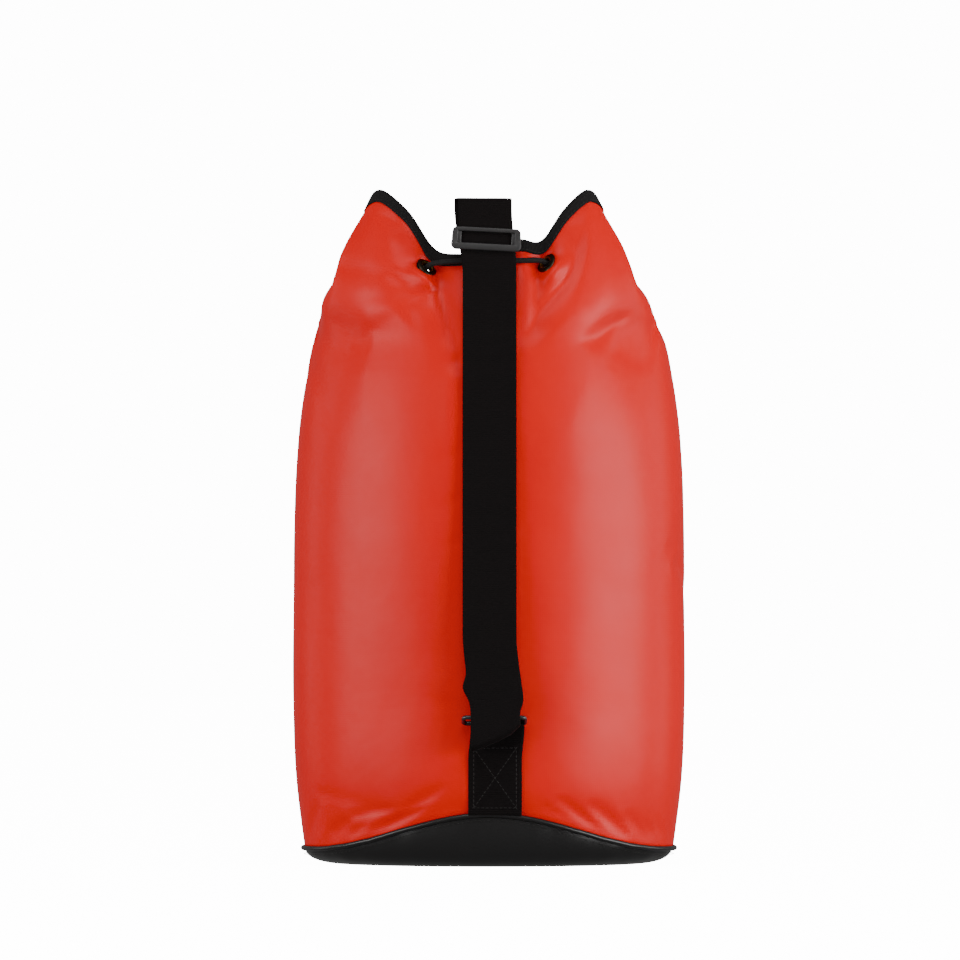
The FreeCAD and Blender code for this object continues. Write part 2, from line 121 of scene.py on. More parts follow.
class KitBagColours(bpy.types.PropertyGroup):
    """Colours of the bag's materials"""

    shell: colour("Shell", "Coated fabric of the tube", "#CC0C05")
    shell_deep: colour("Shell, deep", "The same fabric where the coat is thicker", "#BE0904")
    base: colour("Base", "Coated fabric of the base", "#151313")
    webbing: colour("Webbing", "Strap webbing", "#060303")
    tape: colour("Tape", "Binding tape", "#0C0A0A")
    cord: colour("Cord", "Drawcord", "#0A0808")
    eyelet: colour("Eyelet", "Antique brass", "#2B2622")
    plastic: colour("Plastic", "Slider", "#110F0F")
    ring: colour("Ring", "Coated steel ring", "#1C1C20")


# ------------------------------------------------------------------ small helpers


def linear(hex_value):
    """An sRGB hex value as linear red, green, blue and alpha."""
    channels = [int(hex_value[i:i + 2], 16) / 255 for i in (1, 3, 5)]
    return [c / 12.92 if c <= 0.04045 else ((c + 0.055) / 1.055) ** 2.4 for c in channels] + [1.0]


def smooth(edge0, edge1, value):
    """A smooth step from 0 at edge0 to 1 at edge1."""
    t = np.clip((np.asarray(value, float) - edge0) / (edge1 - edge0), 0.0, 1.0)
    return t * t * (3 - 2 * t)


def hermite(knots, values, places, period=None):
    """Smooth curve through values at the knots; values may be rows. Periodic if period is given."""
    knots = np.asarray(knots, float)
    values = np.asarray(values, float)
    if period is not None:
        knots = np.concatenate([knots[-2:] - period, knots, knots[:2] + period])
        values = np.concatenate([values[-2:], values, values[:2]])
    slopes = np.gradient(values, knots, axis=0)
    places = np.asarray(places, float)
    index = np.clip(np.searchsorted(knots, places, side="right") - 1, 0, len(knots) - 2)
    gap = (knots[index + 1] - knots[index])
    t = (places - knots[index]) / gap
    shape = (-1,) + (1,) * (values.ndim - 1)
    t, gap = t.reshape(shape), gap.reshape(shape)
    low, high = values[index], values[index + 1]
    return (low * (1 + 2 * t) * (1 - t) ** 2 + high * t * t * (3 - 2 * t)
            + slopes[index] * gap * t * (1 - t) ** 2 - slopes[index + 1] * gap * t * t * (1 - t))


def new_piece(name, points, faces, uvs=None, material=None, smooth_faces=True):
    """A mesh object at the origin. uvs are one pair for each corner, in metres along the surface."""
    mesh = bpy.data.meshes.new(name)
    mesh.from_pydata([tuple(p) for p in points], [], faces)
    if uvs is not None:
        layer = mesh.uv_layers.new(name="Cloth")
        layer.data.foreach_set("uv", np.asarray(uvs, np.float32).ravel())
    mesh.polygons.foreach_set("use_smooth", [smooth_faces] * len(mesh.polygons))
    mesh.update()
    piece = bpy.data.objects.new(name, mesh)
    bpy.context.scene.collection.objects.link(piece)
    if material is not None:
        mesh.materials.append(material)
    return piece


def grid_faces(rows, columns, closed_columns=True, closed_rows=False):
    """Quads of a grid whose points run row by row, and each corner's row and column for its UV."""
    faces, corners = [], []
    for r in range(rows if closed_rows else rows - 1):
        for c in range(columns if closed_columns else columns - 1):
            r1, c1 = (r + 1) % rows, (c + 1) % columns
            faces.append((r * columns + c, r * columns + c1, r1 * columns + c1, r1 * columns + c))
            corners += [(r, c), (r, c + 1), (r + 1, c + 1), (r + 1, c)]
    return faces, np.array(corners, float)


def baked(piece, modifier_type=None, **settings):
    """Applies one modifier with the given settings, or all that the piece has."""
    if modifier_type:
        modifier = piece.modifiers.new(modifier_type.title(), modifier_type)
        for key, value in settings.items():
            setattr(modifier, key, value)
    graph = bpy.context.evaluated_depsgraph_get()
    result = bpy.data.meshes.new_from_object(piece.evaluated_get(graph))
    piece.modifiers.clear()
    piece.data = result
    return piece


def finish_piece(piece, body, nodes=()):
    """Rides the piece on its body and hides the CAD parts that it stands for."""
    if body:
        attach(piece, body)
    if nodes:
        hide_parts(*nodes)
    return piece


# ------------------------------------------------------------------ materials


def add(tree, kind, **settings):
    """Adds a node; settings are input values, links (a socket) or node properties."""
    node = tree.nodes.new(kind)
    for key, value in settings.items():
        name = key.replace("_", " ")
        match = [s for s in node.inputs if s.name.lower() == name.lower() and s.enabled]
        if isinstance(value, bpy.types.NodeSocket):
            tree.links.new(value, match[0] if match else node.inputs[int(key[1:])])
        elif match and not hasattr(type(node), key):
            match[0].default_value = value
        elif key[0] == "i" and key[1:].isdigit():
            node.inputs[int(key[1:])].default_value = value
        else:
            setattr(node, key, value)
    return node


def surface(name, base, roughness, **shader):
    """A new material: its node tree, its principled shader and a place for the base colour."""
    material = bpy.data.materials.new(name)
    material.use_nodes = True
    tree = material.node_tree
    principled = tree.nodes["Principled BSDF"]
    principled.inputs["Base Color"].default_value = base
    principled.inputs["Roughness"].default_value = roughness
    for key, value in shader.items():
        principled.inputs[key.replace("_", " ")].default_value = value
    material.diffuse_color = base
    return material, tree, principled


def maths(tree, operation, a, b=0.0):
    """A Math node's output for two values or sockets."""
    node = add(tree, "ShaderNodeMath", operation=operation)
    for index, value in enumerate((a, b)):
        if isinstance(value, bpy.types.NodeSocket):
            tree.links.new(value, node.inputs[index])
        else:
            node.inputs[index].default_value = value
    return node.outputs[0]


def blend_colours(tree, factor, first, second):
    """A colour between two, by a socket."""
    node = add(tree, "ShaderNodeMix", data_type="RGBA")
    tree.links.new(factor, node.inputs["Factor"])
    node.inputs[6].default_value = first
    node.inputs[7].default_value = second
    return node.outputs[2]


def bump(tree, principled, height, distance, strength=1.0, onto=None):
    """Bump from a height socket; onto is an earlier bump's normal."""
    node = add(tree, "ShaderNodeBump", Strength=strength, Distance=distance)
    tree.links.new(height, node.inputs["Height"])
    if onto is not None:
        tree.links.new(onto, node.inputs["Normal"])
    tree.links.new(node.outputs[0], principled.inputs["Normal"])
    return node.outputs[0]


def cloth_lines(tree, spacing, axis):
    """Waves of the given spacing along one axis of the piece's own cloth map, which is in metres."""
    coords = add(tree, "ShaderNodeUVMap", uv_map="Cloth").outputs[0]
    # A wave texture turns about 3.183 times per unit, so this scale gives one wave per spacing.
    wave = add(tree, "ShaderNodeTexWave", bands_direction=axis, wave_profile="SIN",
               Scale=math.pi / 10 / spacing)
    tree.links.new(coords, wave.inputs["Vector"])
    return wave.outputs["Fac"]


def noise(tree, size, detail=2.0, rough=0.5):
    """Noise whose features are about the given size in metres."""
    vector = add(tree, "ShaderNodeTexCoord").outputs["Object"]
    node = add(tree, "ShaderNodeTexNoise", Scale=1 / size, Detail=detail, Roughness=rough)
    tree.links.new(vector, node.inputs["Vector"])
    return node.outputs["Fac"]


def pvc_tarpaulin(name, first, second, roughness, coat, dent):
    """PVC-coated polyester, calendered: glossy, with the scrim's grid just showing through the coat."""
    material, tree, principled = surface(name, linear(first), roughness, IOR=1.53, Coat_Weight=coat,
                                         Coat_Roughness=0.3, Specular_IOR_Level=0.1)
    tone = blend_colours(tree, noise(tree, 0.11, 3.0), linear(first), linear(second))
    tree.links.new(tone, principled.inputs["Base Color"])
    # The coat dulls a little in patches where it has been handled and folded.
    scuffs = maths(tree, "MULTIPLY", noise(tree, 0.035, 5.0, 0.65), 0.16)
    tree.links.new(maths(tree, "ADD", scuffs, roughness - 0.08), principled.inputs["Roughness"])
    # Scrim threads lie 1.1 mm apart; drawn at 2 mm so that they show.
    grid = maths(tree, "ADD", cloth_lines(tree, 2.0 * MM, "X"), cloth_lines(tree, 2.0 * MM, "Y"))
    dents = bump(tree, principled, noise(tree, 0.028, 2.0), dent)
    bump(tree, principled, grid, 0.03 * MM, 0.6, dents)
    return material


def polypropylene_webbing(name, shade, rib):
    """Woven polypropylene webbing: ribs across its width, a firm selvedge and a faint sheen."""
    material, tree, principled = surface(name, linear(shade), 0.8, IOR=1.49, Sheen_Weight=0.01,
                                         Sheen_Roughness=0.4, Specular_IOR_Level=0.1)
    ribs = cloth_lines(tree, rib, "Y")
    threads = cloth_lines(tree, rib * 0.62, "X")
    weave = maths(tree, "ADD", maths(tree, "MULTIPLY", ribs, 0.75), maths(tree, "MULTIPLY", threads, 0.25))
    # Painted highlight: the rib crowns are painted lighter than the webbing's own black, more in some
    # patches than others.
    light = [min(1.0, c * 1.8) for c in linear(shade)[:3]] + [1.0]
    wear_and_sheen = maths(tree, "MULTIPLY", weave, maths(tree, "ADD", noise(tree, 0.02, 4.0), 0.1))
    tree.links.new(blend_colours(tree, wear_and_sheen, linear(shade), light), principled.inputs["Base Color"])
    fuzz = bump(tree, principled, noise(tree, 0.5 * MM, 2.0), 0.1 * MM, 0.5)
    bump(tree, principled, weave, 0.3 * MM, 0.7, fuzz)
    return material


def grosgrain_tape(name, shade):
    """Woven polyester binding tape: matt, with close ribs across its width."""
    material, tree, principled = surface(name, linear(shade), 0.85, IOR=1.5, Sheen_Weight=0.03,
                                         Sheen_Roughness=0.5, Specular_IOR_Level=0.15)
    ribs = cloth_lines(tree, 1.3 * MM, "X")
    # Painted highlight: the rib crowns are painted lighter than the tape's own black.
    light = [min(1.0, c * 2.5) for c in linear(shade)[:3]] + [1.0]
    tree.links.new(blend_colours(tree, maths(tree, "MULTIPLY", ribs, 0.6), linear(shade), light),
                   principled.inputs["Base Color"])
    bump(tree, principled, ribs, 0.3 * MM, 0.8)
    return material


def braided_polyester(name, shade):
    """Braided polyester cord: crossing strands wound both ways round it."""
    material, tree, principled = surface(name, linear(shade), 0.7, IOR=1.5, Sheen_Weight=0.03,
                                         Sheen_Roughness=0.4, Specular_IOR_Level=0.2)
    coords = add(tree, "ShaderNodeUVMap", uv_map="Cloth").outputs[0]
    heights = []
    for turn in (45.0, -45.0):
        turned = add(tree, "ShaderNodeMapping")
        turned.inputs["Rotation"].default_value = (0, 0, math.radians(turn))
        tree.links.new(coords, turned.inputs["Vector"])
        wave = add(tree, "ShaderNodeTexWave", Scale=math.pi / 10 / (1.4 * MM))
        tree.links.new(turned.outputs[0], wave.inputs["Vector"])
        heights.append(wave.outputs["Fac"])
    weave = maths(tree, "MAXIMUM", heights[0], heights[1])
    # Painted highlight: the crowns of the strands are painted lighter than the cord's own black.
    light = [min(1.0, c * 3.0) for c in linear(shade)[:3]] + [1.0]
    tree.links.new(blend_colours(tree, weave, linear(shade), light), principled.inputs["Base Color"])
    bump(tree, principled, weave, 0.35 * MM, 0.9)
    return material


def antique_brass(name, shade, bright):
    """Pressed brass with a dark antique finish, lighter and darker in random patches."""
    material, tree, principled = surface(name, linear(shade), 0.38, Metallic=1.0)
    wear_and_sheen = maths(tree, "POWER", noise(tree, 2.5 * MM, 3.0), 1.5)
    tree.links.new(blend_colours(tree, wear_and_sheen, linear(shade), linear(bright)), principled.inputs["Base Color"])
    bump(tree, principled, noise(tree, 0.8 * MM, 2.0), 0.05 * MM, 0.4)
    return material


def moulded_plastic(name, shade, roughness):
    """Injection-moulded acetal or coated steel: an even satin skin with a very fine grain."""
    material, tree, principled = surface(name, linear(shade), roughness, IOR=1.48)
    light = [min(1.0, c * 1.6) for c in linear(shade)[:3]] + [1.0]
    tree.links.new(blend_colours(tree, noise(tree, 6 * MM, 4.0), linear(shade), light),
                   principled.inputs["Base Color"])
    bump(tree, principled, noise(tree, 0.7 * MM, 2.0), 0.04 * MM, 0.5)
    return material


def polyester_thread(name, shade):
    """Bonded polyester sewing thread, twisted, with a soft shine."""
    material, tree, principled = surface(name, linear(shade), 0.6, IOR=1.5, Sheen_Weight=0.05,
                                         Sheen_Roughness=0.4, Specular_IOR_Level=0.25)
    light = [min(1.0, c * 2.0) for c in linear(shade)[:3]] + [1.0]
    tree.links.new(blend_colours(tree, noise(tree, 0.6 * MM, 2.0), linear(shade), light),
                   principled.inputs["Base Color"])
    return material


MATERIALS = {}


def make_materials(colours, strap):
    """All the finishes of the bag, made once."""
    MATERIALS.update(
        shell=pvc_tarpaulin("pvc_tarpaulin_gloss_red", colours.shell, colours.shell_deep,
                            0.36, 0.03, 0.5 * MM),
        base=pvc_tarpaulin("pvc_tarpaulin_satin_black", colours.base, "#121111", 0.42, 0.5, 0.35 * MM),
        webbing=polypropylene_webbing("polypropylene_webbing_black", colours.webbing, strap.rib),
        tape=grosgrain_tape("polyester_grosgrain_black", colours.tape),
        cord=braided_polyester("polyester_braid_black", colours.cord),
        eyelet=antique_brass("brass_antique_pressed", colours.eyelet, "#4A3E2C"),
        # A brighter brass for the lip round the bore: a painted highlight along the eyelet's inner rim.
        rim=antique_brass("brass_rim_painted_highlight", "#8A6F3A", "#B39350"),
        plastic=moulded_plastic("acetal_moulded_charcoal", colours.plastic, 0.5),
        ring=moulded_plastic("steel_powder_coated_black", colours.ring, 0.3),
        thread=polyester_thread("polyester_thread_black", "#12100F"),
    )


# ------------------------------------------------------------------ shape of the tube

# Rows of the filled tube: height, half width and half depth, in mm.
TUBE_ROWS = (
    (76, 174.5, 118), (150, 178, 118.5), (240, 178.5, 118), (300, 178.5, 117), (364, 176.5, 114.5),
    (400, 173.5, 113), (436, 168, 110), (472, 160.5, 106.5),
)
# A quarter of the top, from the front's middle round to the side: column of sixteen, then for the
# right and the left hand x, y and height in mm, for a ring low, at the eyelets and at the edge.
QUARTERS = (
    (0.0, ((0, -101, 500), (0, -93, 527), (0, -87, 552)),
     ((0, -101, 500), (0, -93, 527), (0, -87, 552))),
    (0.5, ((27, -102, 500), (27, -96, 531), (27, -88, 561)),
     ((-28, -102, 500), (-28, -95, 526), (-29, -88, 548))),
    (1.0, ((54, -100, 501), (53, -93, 531), (47, -85, 560)),
     ((-56, -100, 501), (-56, -93, 529), (-50, -86, 554))),
    (1.5, ((84, -92, 503), (80, -85, 541), (67, -78, 588)),
     ((-86, -92, 503), (-82, -86, 540), (-72, -79, 586))),
    (2.0, ((110, -79, 505), (105, -74, 548), (88, -67, 606)),
     ((-114, -79, 505), (-110, -74, 548), (-97, -67, 606))),
    (2.4, ((128, -63, 506), (124, -56, 547), (97, -54, 599)),
     ((-134, -63, 506), (-133, -56, 547), (-106, -54, 599))),
    (3.0, ((144, -40, 506), (122, -36, 538), (86, -33, 572)),
     ((-151, -40, 506), (-131, -36, 538), (-95, -33, 572))),
    (4.0, ((144, 0, 500), (108, 0, 527), (72, 0, 552)),
     ((-152, 0, 500), (-117, 0, 527), (-81, 0, 552))),
)
ROW_PLACES = (0.0, 0.105, 0.23, 0.38, 0.48, 0.585, 0.645, 0.705, 0.765, 0.83, 0.905, 1.0)


def seam_height(sizes, x, y):
    """Height of the base seam at a place: the strap draws it up into an arch at the front."""
    half = BAG_HALF_WIDTH * 0.94
    arch = (1 + math.cos(math.pi * min(1.0, abs(x) / half))) / 2
    fade = float(smooth(0.35, -0.45, y / BAG_HALF_DEPTH))
    return sizes.seam_side + sizes.seam_arch * arch * fade


def oval(half_width, half_depth, count):
    """Points evenly spaced round an oval, from the front's middle towards +X."""
    angle = np.linspace(0, 2 * math.pi, 2049)
    x, y = half_width * np.sin(angle), -half_depth * np.cos(angle)
    run = np.concatenate([[0], np.cumsum(np.hypot(np.diff(x), np.diff(y)))])
    even = np.interp(np.arange(count) / count * run[-1], run, angle)
    return np.stack([half_width * np.sin(even), -half_depth * np.cos(even)], axis=1)


def tube_grid(sizes):
    """Points of the tube, row by row from the seam to the mouth."""
    count = sizes.around
    rows = []
    seam = oval(166.5 * MM, 113 * MM, count)
    rows.append(np.array([(x, y, seam_height(sizes, x, y)) for x, y in seam]))
    for height, half_width, half_depth in TUBE_ROWS:
        ring = oval(half_width * MM, half_depth * MM, count)
        rows.append(np.column_stack([ring, np.full(count, height * MM)]))
    columns = np.arange(count) / count * 16
    for level in range(3):
        knots = {}
        for column, right, left in QUARTERS:
            back = np.array([1.0, -0.98, 1.0])
            sag = np.array([0.0, 0.0, -4.0 if level == 2 and 1.2 < column < 3.5 else 0.0])
            knots[column] = np.array(right[level])
            knots[8 - column] = np.array(right[level]) * back + sag
            knots[8 + column] = np.array(left[level]) * back + sag
            knots[(16 - column) % 16] = np.array(left[level])
            if column == 0.0:
                knots[8.0] = np.array([0.0, 95.0 - 4 * level, right[level][2] - 3.0])
        order = sorted(knots)
        rows.append(hermite(order, np.array([knots[c] for c in order], float) * MM, columns, period=16))
    net = np.array(rows)
    places = np.linspace(0, 1, sizes.rows)
    return hermite(ROW_PLACES, net, places)


def grid_normals(grid):
    """Outward normals of a closed grid of points."""
    across = np.roll(grid, -1, axis=1) - np.roll(grid, 1, axis=1)
    up = np.gradient(grid, axis=0)
    normal = np.cross(across, up)
    return normal / np.linalg.norm(normal, axis=2, keepdims=True)


# Folds pressed into the cloth: where each starts and ends (x, height), its depth and its width to
# either side at the start in mm (in is negative), how much wider it ends, and the side it is on.
FOLDS = (
    ((-50, 526), (-28, 452), -5.0, 3, 16, 1.0, -1),
    ((-66, 524), (-150, 545), -1.8, 3, 9, 1.6, -1),
    ((-60, 516), (-128, 506), -2.2, 3, 8, 1.8, -1),
    ((-62, 512), (-112, 474), -1.8, 3, 10, 2.0, -1),
    ((44, 540), (39, 470), -4.2, 3, 7, 1.2, -1),
    ((32, 545), (29, 488), 2.2, 4, 4, 1.2, -1),
    ((62, 522), (26, 466), -1.8, 2, 10, 1.4, -1),
    ((62, 530), (96, 500), -1.6, 5, 9, 1.5, -1),
    ((-33, 436), (-33, 250), 1.7, 8, 5, 1.2, -1),
    ((-26, 454), (-46, 448), -1.2, 3, 4, 1.3, -1),
    ((-26, 372), (-44, 368), -1.0, 2, 4, 1.3, -1),
    ((-26, 331), (-42, 326), -1.0, 2, 4, 1.3, -1),
    ((-24, 292), (-44, 290), -0.9, 2, 4, 1.3, -1),
    ((-24, 146), (-62, 156), -1.2, 3, 6, 1.4, -1),
    ((33, 300), (34, 150), -1.0, 5, 6, 1.2, -1),
    ((-165, 446), (-146, 396), -1.6, 3, 8, 1.6, -1),
    ((-164, 474), (-146, 468), -2.6, 5, 8, 1.6, -1),
    ((-150, 64), (-88, 50), -1.2, 3, 5, 1.4, -1),
    ((-120, 45), (-60, 58), -1.0, 2, 4, 1.2, -1),
    ((160, 270), (150, 130), -1.4, 8, 12, 1.5, -1),
    ((-158, 250), (-150, 110), -1.4, 8, 12, 1.5, -1),
    ((0, 522), (4, 400), -5.0, 5, 14, 1.6, 1),
    ((-60, 524), (-96, 420), -3.0, 5, 10, 1.8, 1),
    ((58, 524), (110, 440), -3.0, 5, 10, 1.8, 1),
    ((96, 380), (60, 250), -2.0, 10, 18, 1.5, 1),
    ((-110, 250), (-70, 120), -2.0, 10, 18, 1.5, 1),
)


def fold(grid, normals):
    """Presses the folds into the grid."""
    push = np.zeros(grid.shape[:2])
    flat = grid[:, :, [0, 2]]
    for start, end, depth, left, right, spread, side in FOLDS:
        start, end = np.array(start) * MM, np.array(end) * MM
        run = end - start
        along = np.clip(((flat - start) @ run) / (run @ run), 0, 1)
        distance = np.linalg.norm(flat - start - along[..., None] * run, axis=2)
        hand = (flat[:, :, 0] - start[0]) * run[1] - (flat[:, :, 1] - start[1]) * run[0]
        width = np.where(hand > 0, left, right) * MM * (1 + (spread - 1) * along)
        facing = smooth(0.0, 0.35, grid[:, :, 1] / BAG_HALF_DEPTH * side)
        push += depth * MM * (1 - 0.8 * along) * np.exp(-(distance / width) ** 1.6) * facing
    return grid + normals * push[..., None]


def eyelet_place(grid, eyelet, drop):
    """Row and column of the grid's point at an eyelet, a distance below the mouth's edge."""
    column = round((eyelet * 2 + 1) * grid.shape[1] / 16)
    run = np.cumsum(np.linalg.norm(np.diff(grid[::-1, column], axis=0), axis=1))
    return len(grid) - 2 - int(np.searchsorted(run, drop)), column


def turn_eyelets(grid, normals, sizes):
    """Turns the cloth at the front eyelets the way the cord pulls them."""
    for eyelet, pull in ((0, (-0.8, 0.0, 0.55)), (7, (0.55, 0.0, 0.75))):
        row, column = eyelet_place(grid, eyelet, sizes.eyelet_drop)
        away = grid - grid[row, column]
        near = np.exp(-(np.linalg.norm(away, axis=2) / (15 * MM)) ** 3)
        slope = (away @ np.array(pull)) * 0.95 * near
        grid = grid - normals[row, column] * slope[..., None]
    return grid


def inflate(piece, sizes, grid):
    """Lets the tube swell and pucker as cloth, held at its seam, mouth and eyelets, and caps the moves."""
    count, rows = sizes.around, sizes.rows
    held = piece.vertex_groups.new(name="held")
    fixed = list(range(count)) + list(range((rows - 1) * count, rows * count))
    for eyelet in range(8):
        row, column = eyelet_place(grid, eyelet, sizes.eyelet_drop)
        for r in range(-2, 3):
            fixed += [(row + r) * count + (column + c) % count for c in range(-2, 3)]
    held.add(sorted(set(fixed)), 1.0, "REPLACE")
    cloth = piece.modifiers.new("Cloth", "CLOTH")
    settings = cloth.settings
    settings.quality = 6
    settings.mass = 0.3
    settings.tension_stiffness = 18
    settings.compression_stiffness = 18
    settings.shear_stiffness = 6
    settings.bending_stiffness = 1.2
    settings.vertex_group_mass = "held"
    settings.shrink_min = -0.003
    settings.use_pressure = True
    settings.uniform_pressure_force = 1.6
    settings.effector_weights.gravity = 0.0
    cloth.collision_settings.use_collision = False
    scene = bpy.context.scene
    for step in range(1, 26):
        scene.frame_set(step)
    graph = bpy.context.evaluated_depsgraph_get()
    moved = bpy.data.meshes.new_from_object(piece.evaluated_get(graph))
    after = np.empty(len(moved.vertices) * 3)
    moved.vertices.foreach_get("co", after)
    shift = after.reshape(grid.shape) - grid
    reach = np.linalg.norm(shift, axis=2, keepdims=True)
    limit = 5 * MM
    shift *= np.minimum(1.0, limit / np.maximum(reach, 1e-9))
    piece.modifiers.clear()
    piece.vertex_groups.clear()
    scene.frame_set(1)
    bpy.data.meshes.remove(moved)
    return grid + shift


class Tube:
    """The finished tube's points, which the other pieces are sewn to."""

    grid = None
    normals = None

    @classmethod
    def below_edge(cls, column, drop):
        """The point a distance below the mouth's edge down a column, and the normal there."""
        line = cls.grid[::-1, int(round(column)) % cls.grid.shape[1]]
        run = np.concatenate([[0], np.cumsum(np.linalg.norm(np.diff(line, axis=0), axis=1))])
        point = np.array([np.interp(drop, run, line[:, axis]) for axis in range(3)])
        normal_line = cls.normals[::-1, int(round(column)) % cls.grid.shape[1]]
        normal = np.array([np.interp(drop, run, normal_line[:, axis]) for axis in range(3)])
        return point, normal / np.linalg.norm(normal)


def swept(name, path, frames, outline, material, closed=True, capped=False, lengths=None):
    """A solid of one closed outline carried along a path. frames give the outline's two directions."""
    path = np.asarray(path)
    side, up = frames
    points = []
    for index in range(len(path)):
        shape = outline(index) if callable(outline) else outline
        points.append(path[index] + shape[:, :1] * side[index] + shape[:, 1:] * up[index])
    points = np.array(points)
    rows, columns = points.shape[:2]
    faces, corners = grid_faces(rows, columns, True, closed)
    run = np.concatenate([[0], np.cumsum(np.linalg.norm(np.diff(path, axis=0), axis=1))])
    run = np.append(run, run[-1] + np.linalg.norm(path[0] - path[-1]))
    shape = outline(0) if callable(outline) else outline
    closed_shape = np.vstack([shape, shape[:1]])
    girth = np.concatenate([[0], np.cumsum(np.linalg.norm(np.diff(closed_shape, axis=0), axis=1))])
    uvs = np.column_stack([run[corners[:, 0].astype(int)], girth[corners[:, 1].astype(int)]])
    if capped:
        last = (rows - 1) * columns
        faces += [tuple(range(columns))[::-1], tuple(range(last, last + columns))]
        uvs = np.vstack([uvs, np.zeros((2 * columns, 2))])
    return new_piece(name, points.reshape(-1, 3), faces, uvs, material)


def path_frames(path, hint, closed):
    """Side and up directions along a path, the up one near the hint (a vector or one for each point)."""
    path = np.asarray(path, float)
    if closed:
        tangent = np.roll(path, -1, axis=0) - np.roll(path, 1, axis=0)
    else:
        tangent = np.gradient(path, axis=0)
    tangent /= np.linalg.norm(tangent, axis=1, keepdims=True)
    hint = np.broadcast_to(np.asarray(hint, float), path.shape)
    side = np.cross(tangent, hint)
    side /= np.linalg.norm(side, axis=1, keepdims=True)
    up = np.cross(side, tangent)
    return side, up


def turning_frames(path):
    """Frames that turn as little as they can along an open path."""
    path = np.asarray(path, float)
    tangent = np.gradient(path, axis=0)
    tangent /= np.linalg.norm(tangent, axis=1, keepdims=True)
    start = np.array([0.0, 0.0, 1.0])
    side = [np.cross(tangent[0], start)]
    side[0] /= np.linalg.norm(side[0])
    for t in tangent[1:]:
        s = side[-1] - t * (side[-1] @ t)
        side.append(s / np.linalg.norm(s))
    side = np.array(side)
    return side, np.cross(side, tangent)


def circle(radius, count):
    """Points round a circle."""
    turn = np.arange(count) / count * 2 * math.pi
    return np.column_stack([np.cos(turn), np.sin(turn)]) * radius


def through(points, spacing):
    """A smooth open line through the points, sampled at about the spacing."""
    points = np.asarray(points, float)
    run = np.concatenate([[0], np.cumsum(np.linalg.norm(np.diff(points, axis=0), axis=1) ** 0.5)])
    fine = hermite(run, points, np.linspace(0, run[-1], 60 * len(points)))
    steps = np.concatenate([[0], np.cumsum(np.linalg.norm(np.diff(fine, axis=0), axis=1))])
    even = np.linspace(0, steps[-1], max(4, int(steps[-1] / spacing)))
    return np.column_stack([np.interp(even, steps, fine[:, axis]) for axis in range(3)])


# ------------------------------------------------------------------ operators


class Step(bpy.types.Operator):
    """A step of the bag's making"""

    bl_idname = "kitbag.step"
    bl_label = "Step"
    bl_options = {"REGISTER", "UNDO"}

    @property
    def sizes(self):
        return bpy.context.scene.kit_bag_sizes

    @property
    def strap(self):
        return bpy.context.scene.kit_bag_strap

    @property
    def colours(self):
        return bpy.context.scene.kit_bag_colours


class KITBAG_OT_stage(Step):
    """Adds the pale floor, the soft studio lights and the camera"""

    bl_idname = "kitbag.stage"
    bl_label = "Stage"

    def execute(self, context):
        scene = context.scene
        world = bpy.data.worlds.new("studio")
        scene.world = world
        world.use_nodes = True
        background = world.node_tree.nodes["Background"]
        background.inputs["Color"].default_value = (1.0, 1.0, 1.0, 1.0)
        # The studio is bright white to the camera, and only a soft fill to the bag.
        seen = add(world.node_tree, "ShaderNodeLightPath").outputs["Is Camera Ray"]
        seen = maths(world.node_tree, "MULTIPLY", seen, 13.75)
        world.node_tree.links.new(maths(world.node_tree, "ADD", seen, 0.25), background.inputs["Strength"])
        # A floor of white card, with nothing behind the bag, so that it can be seen from all round.
        glow = bpy.data.materials.new("floor_white_card")
        glow.use_nodes = True
        principled = glow.node_tree.nodes["Principled BSDF"]
        principled.inputs["Base Color"].default_value = (0.85, 0.85, 0.85, 1.0)
        principled.inputs["Roughness"].default_value = 1.0
        principled.inputs["Specular IOR Level"].default_value = 0.0
        principled.inputs["Emission Color"].default_value = (1.0, 1.0, 1.0, 1.0)
        principled.inputs["Emission Strength"].default_value = 14.0
        points = [(x, y, -0.3 * MM) for x, y in ((-7, -7), (7, -7), (7, 7), (-7, 7))]
        floor = new_piece("white_floor", points, [(0, 1, 2, 3)], None, glow, True)
        floor.visible_diffuse = False
        floor.visible_glossy = False
        lights = (
            ("left_strip", (-1.8, 0.5, 0.45), (0.5, 1.2), 4.0),
            ("right_strip", (1.8, 0.3, 0.4), (0.6, 1.1), 7.0),
            ("front_left_box", (-2.9, -1.9, 0.55), (2.8, 1.4), 125.0),
            ("front_right_box", (3.1, -1.8, 0.35), (2.8, 1.4), 200.0),
            ("top_box", (0.0, -2.4, 2.6), (2.0, 1.2), 52.0),
        )
        for name, place, shape, power in lights:
            data = bpy.data.lights.new(name, "AREA")
            data.shape = "RECTANGLE"
            data.size, data.size_y = shape
            data.energy = power
            light = bpy.data.objects.new(name, data)
            light.location = place
            aim = Vector((0, 0, 0.3)) - Vector(place)
            light.rotation_euler = aim.to_track_quat("-Z", "Y").to_euler()
            scene.collection.objects.link(light)
        data = bpy.data.cameras.new("camera")
        camera = bpy.data.objects.new("camera", data)
        distance = 9.0
        across = 0.868
        data.sensor_width = 36.0
        data.lens = data.sensor_width * distance / across
        camera.location = (-8.1 * MM, -distance, 346.5 * MM)
        camera.rotation_euler = (math.radians(90), 0, 0)
        scene.collection.objects.link(camera)
        scene.camera = camera
        return {"FINISHED"}


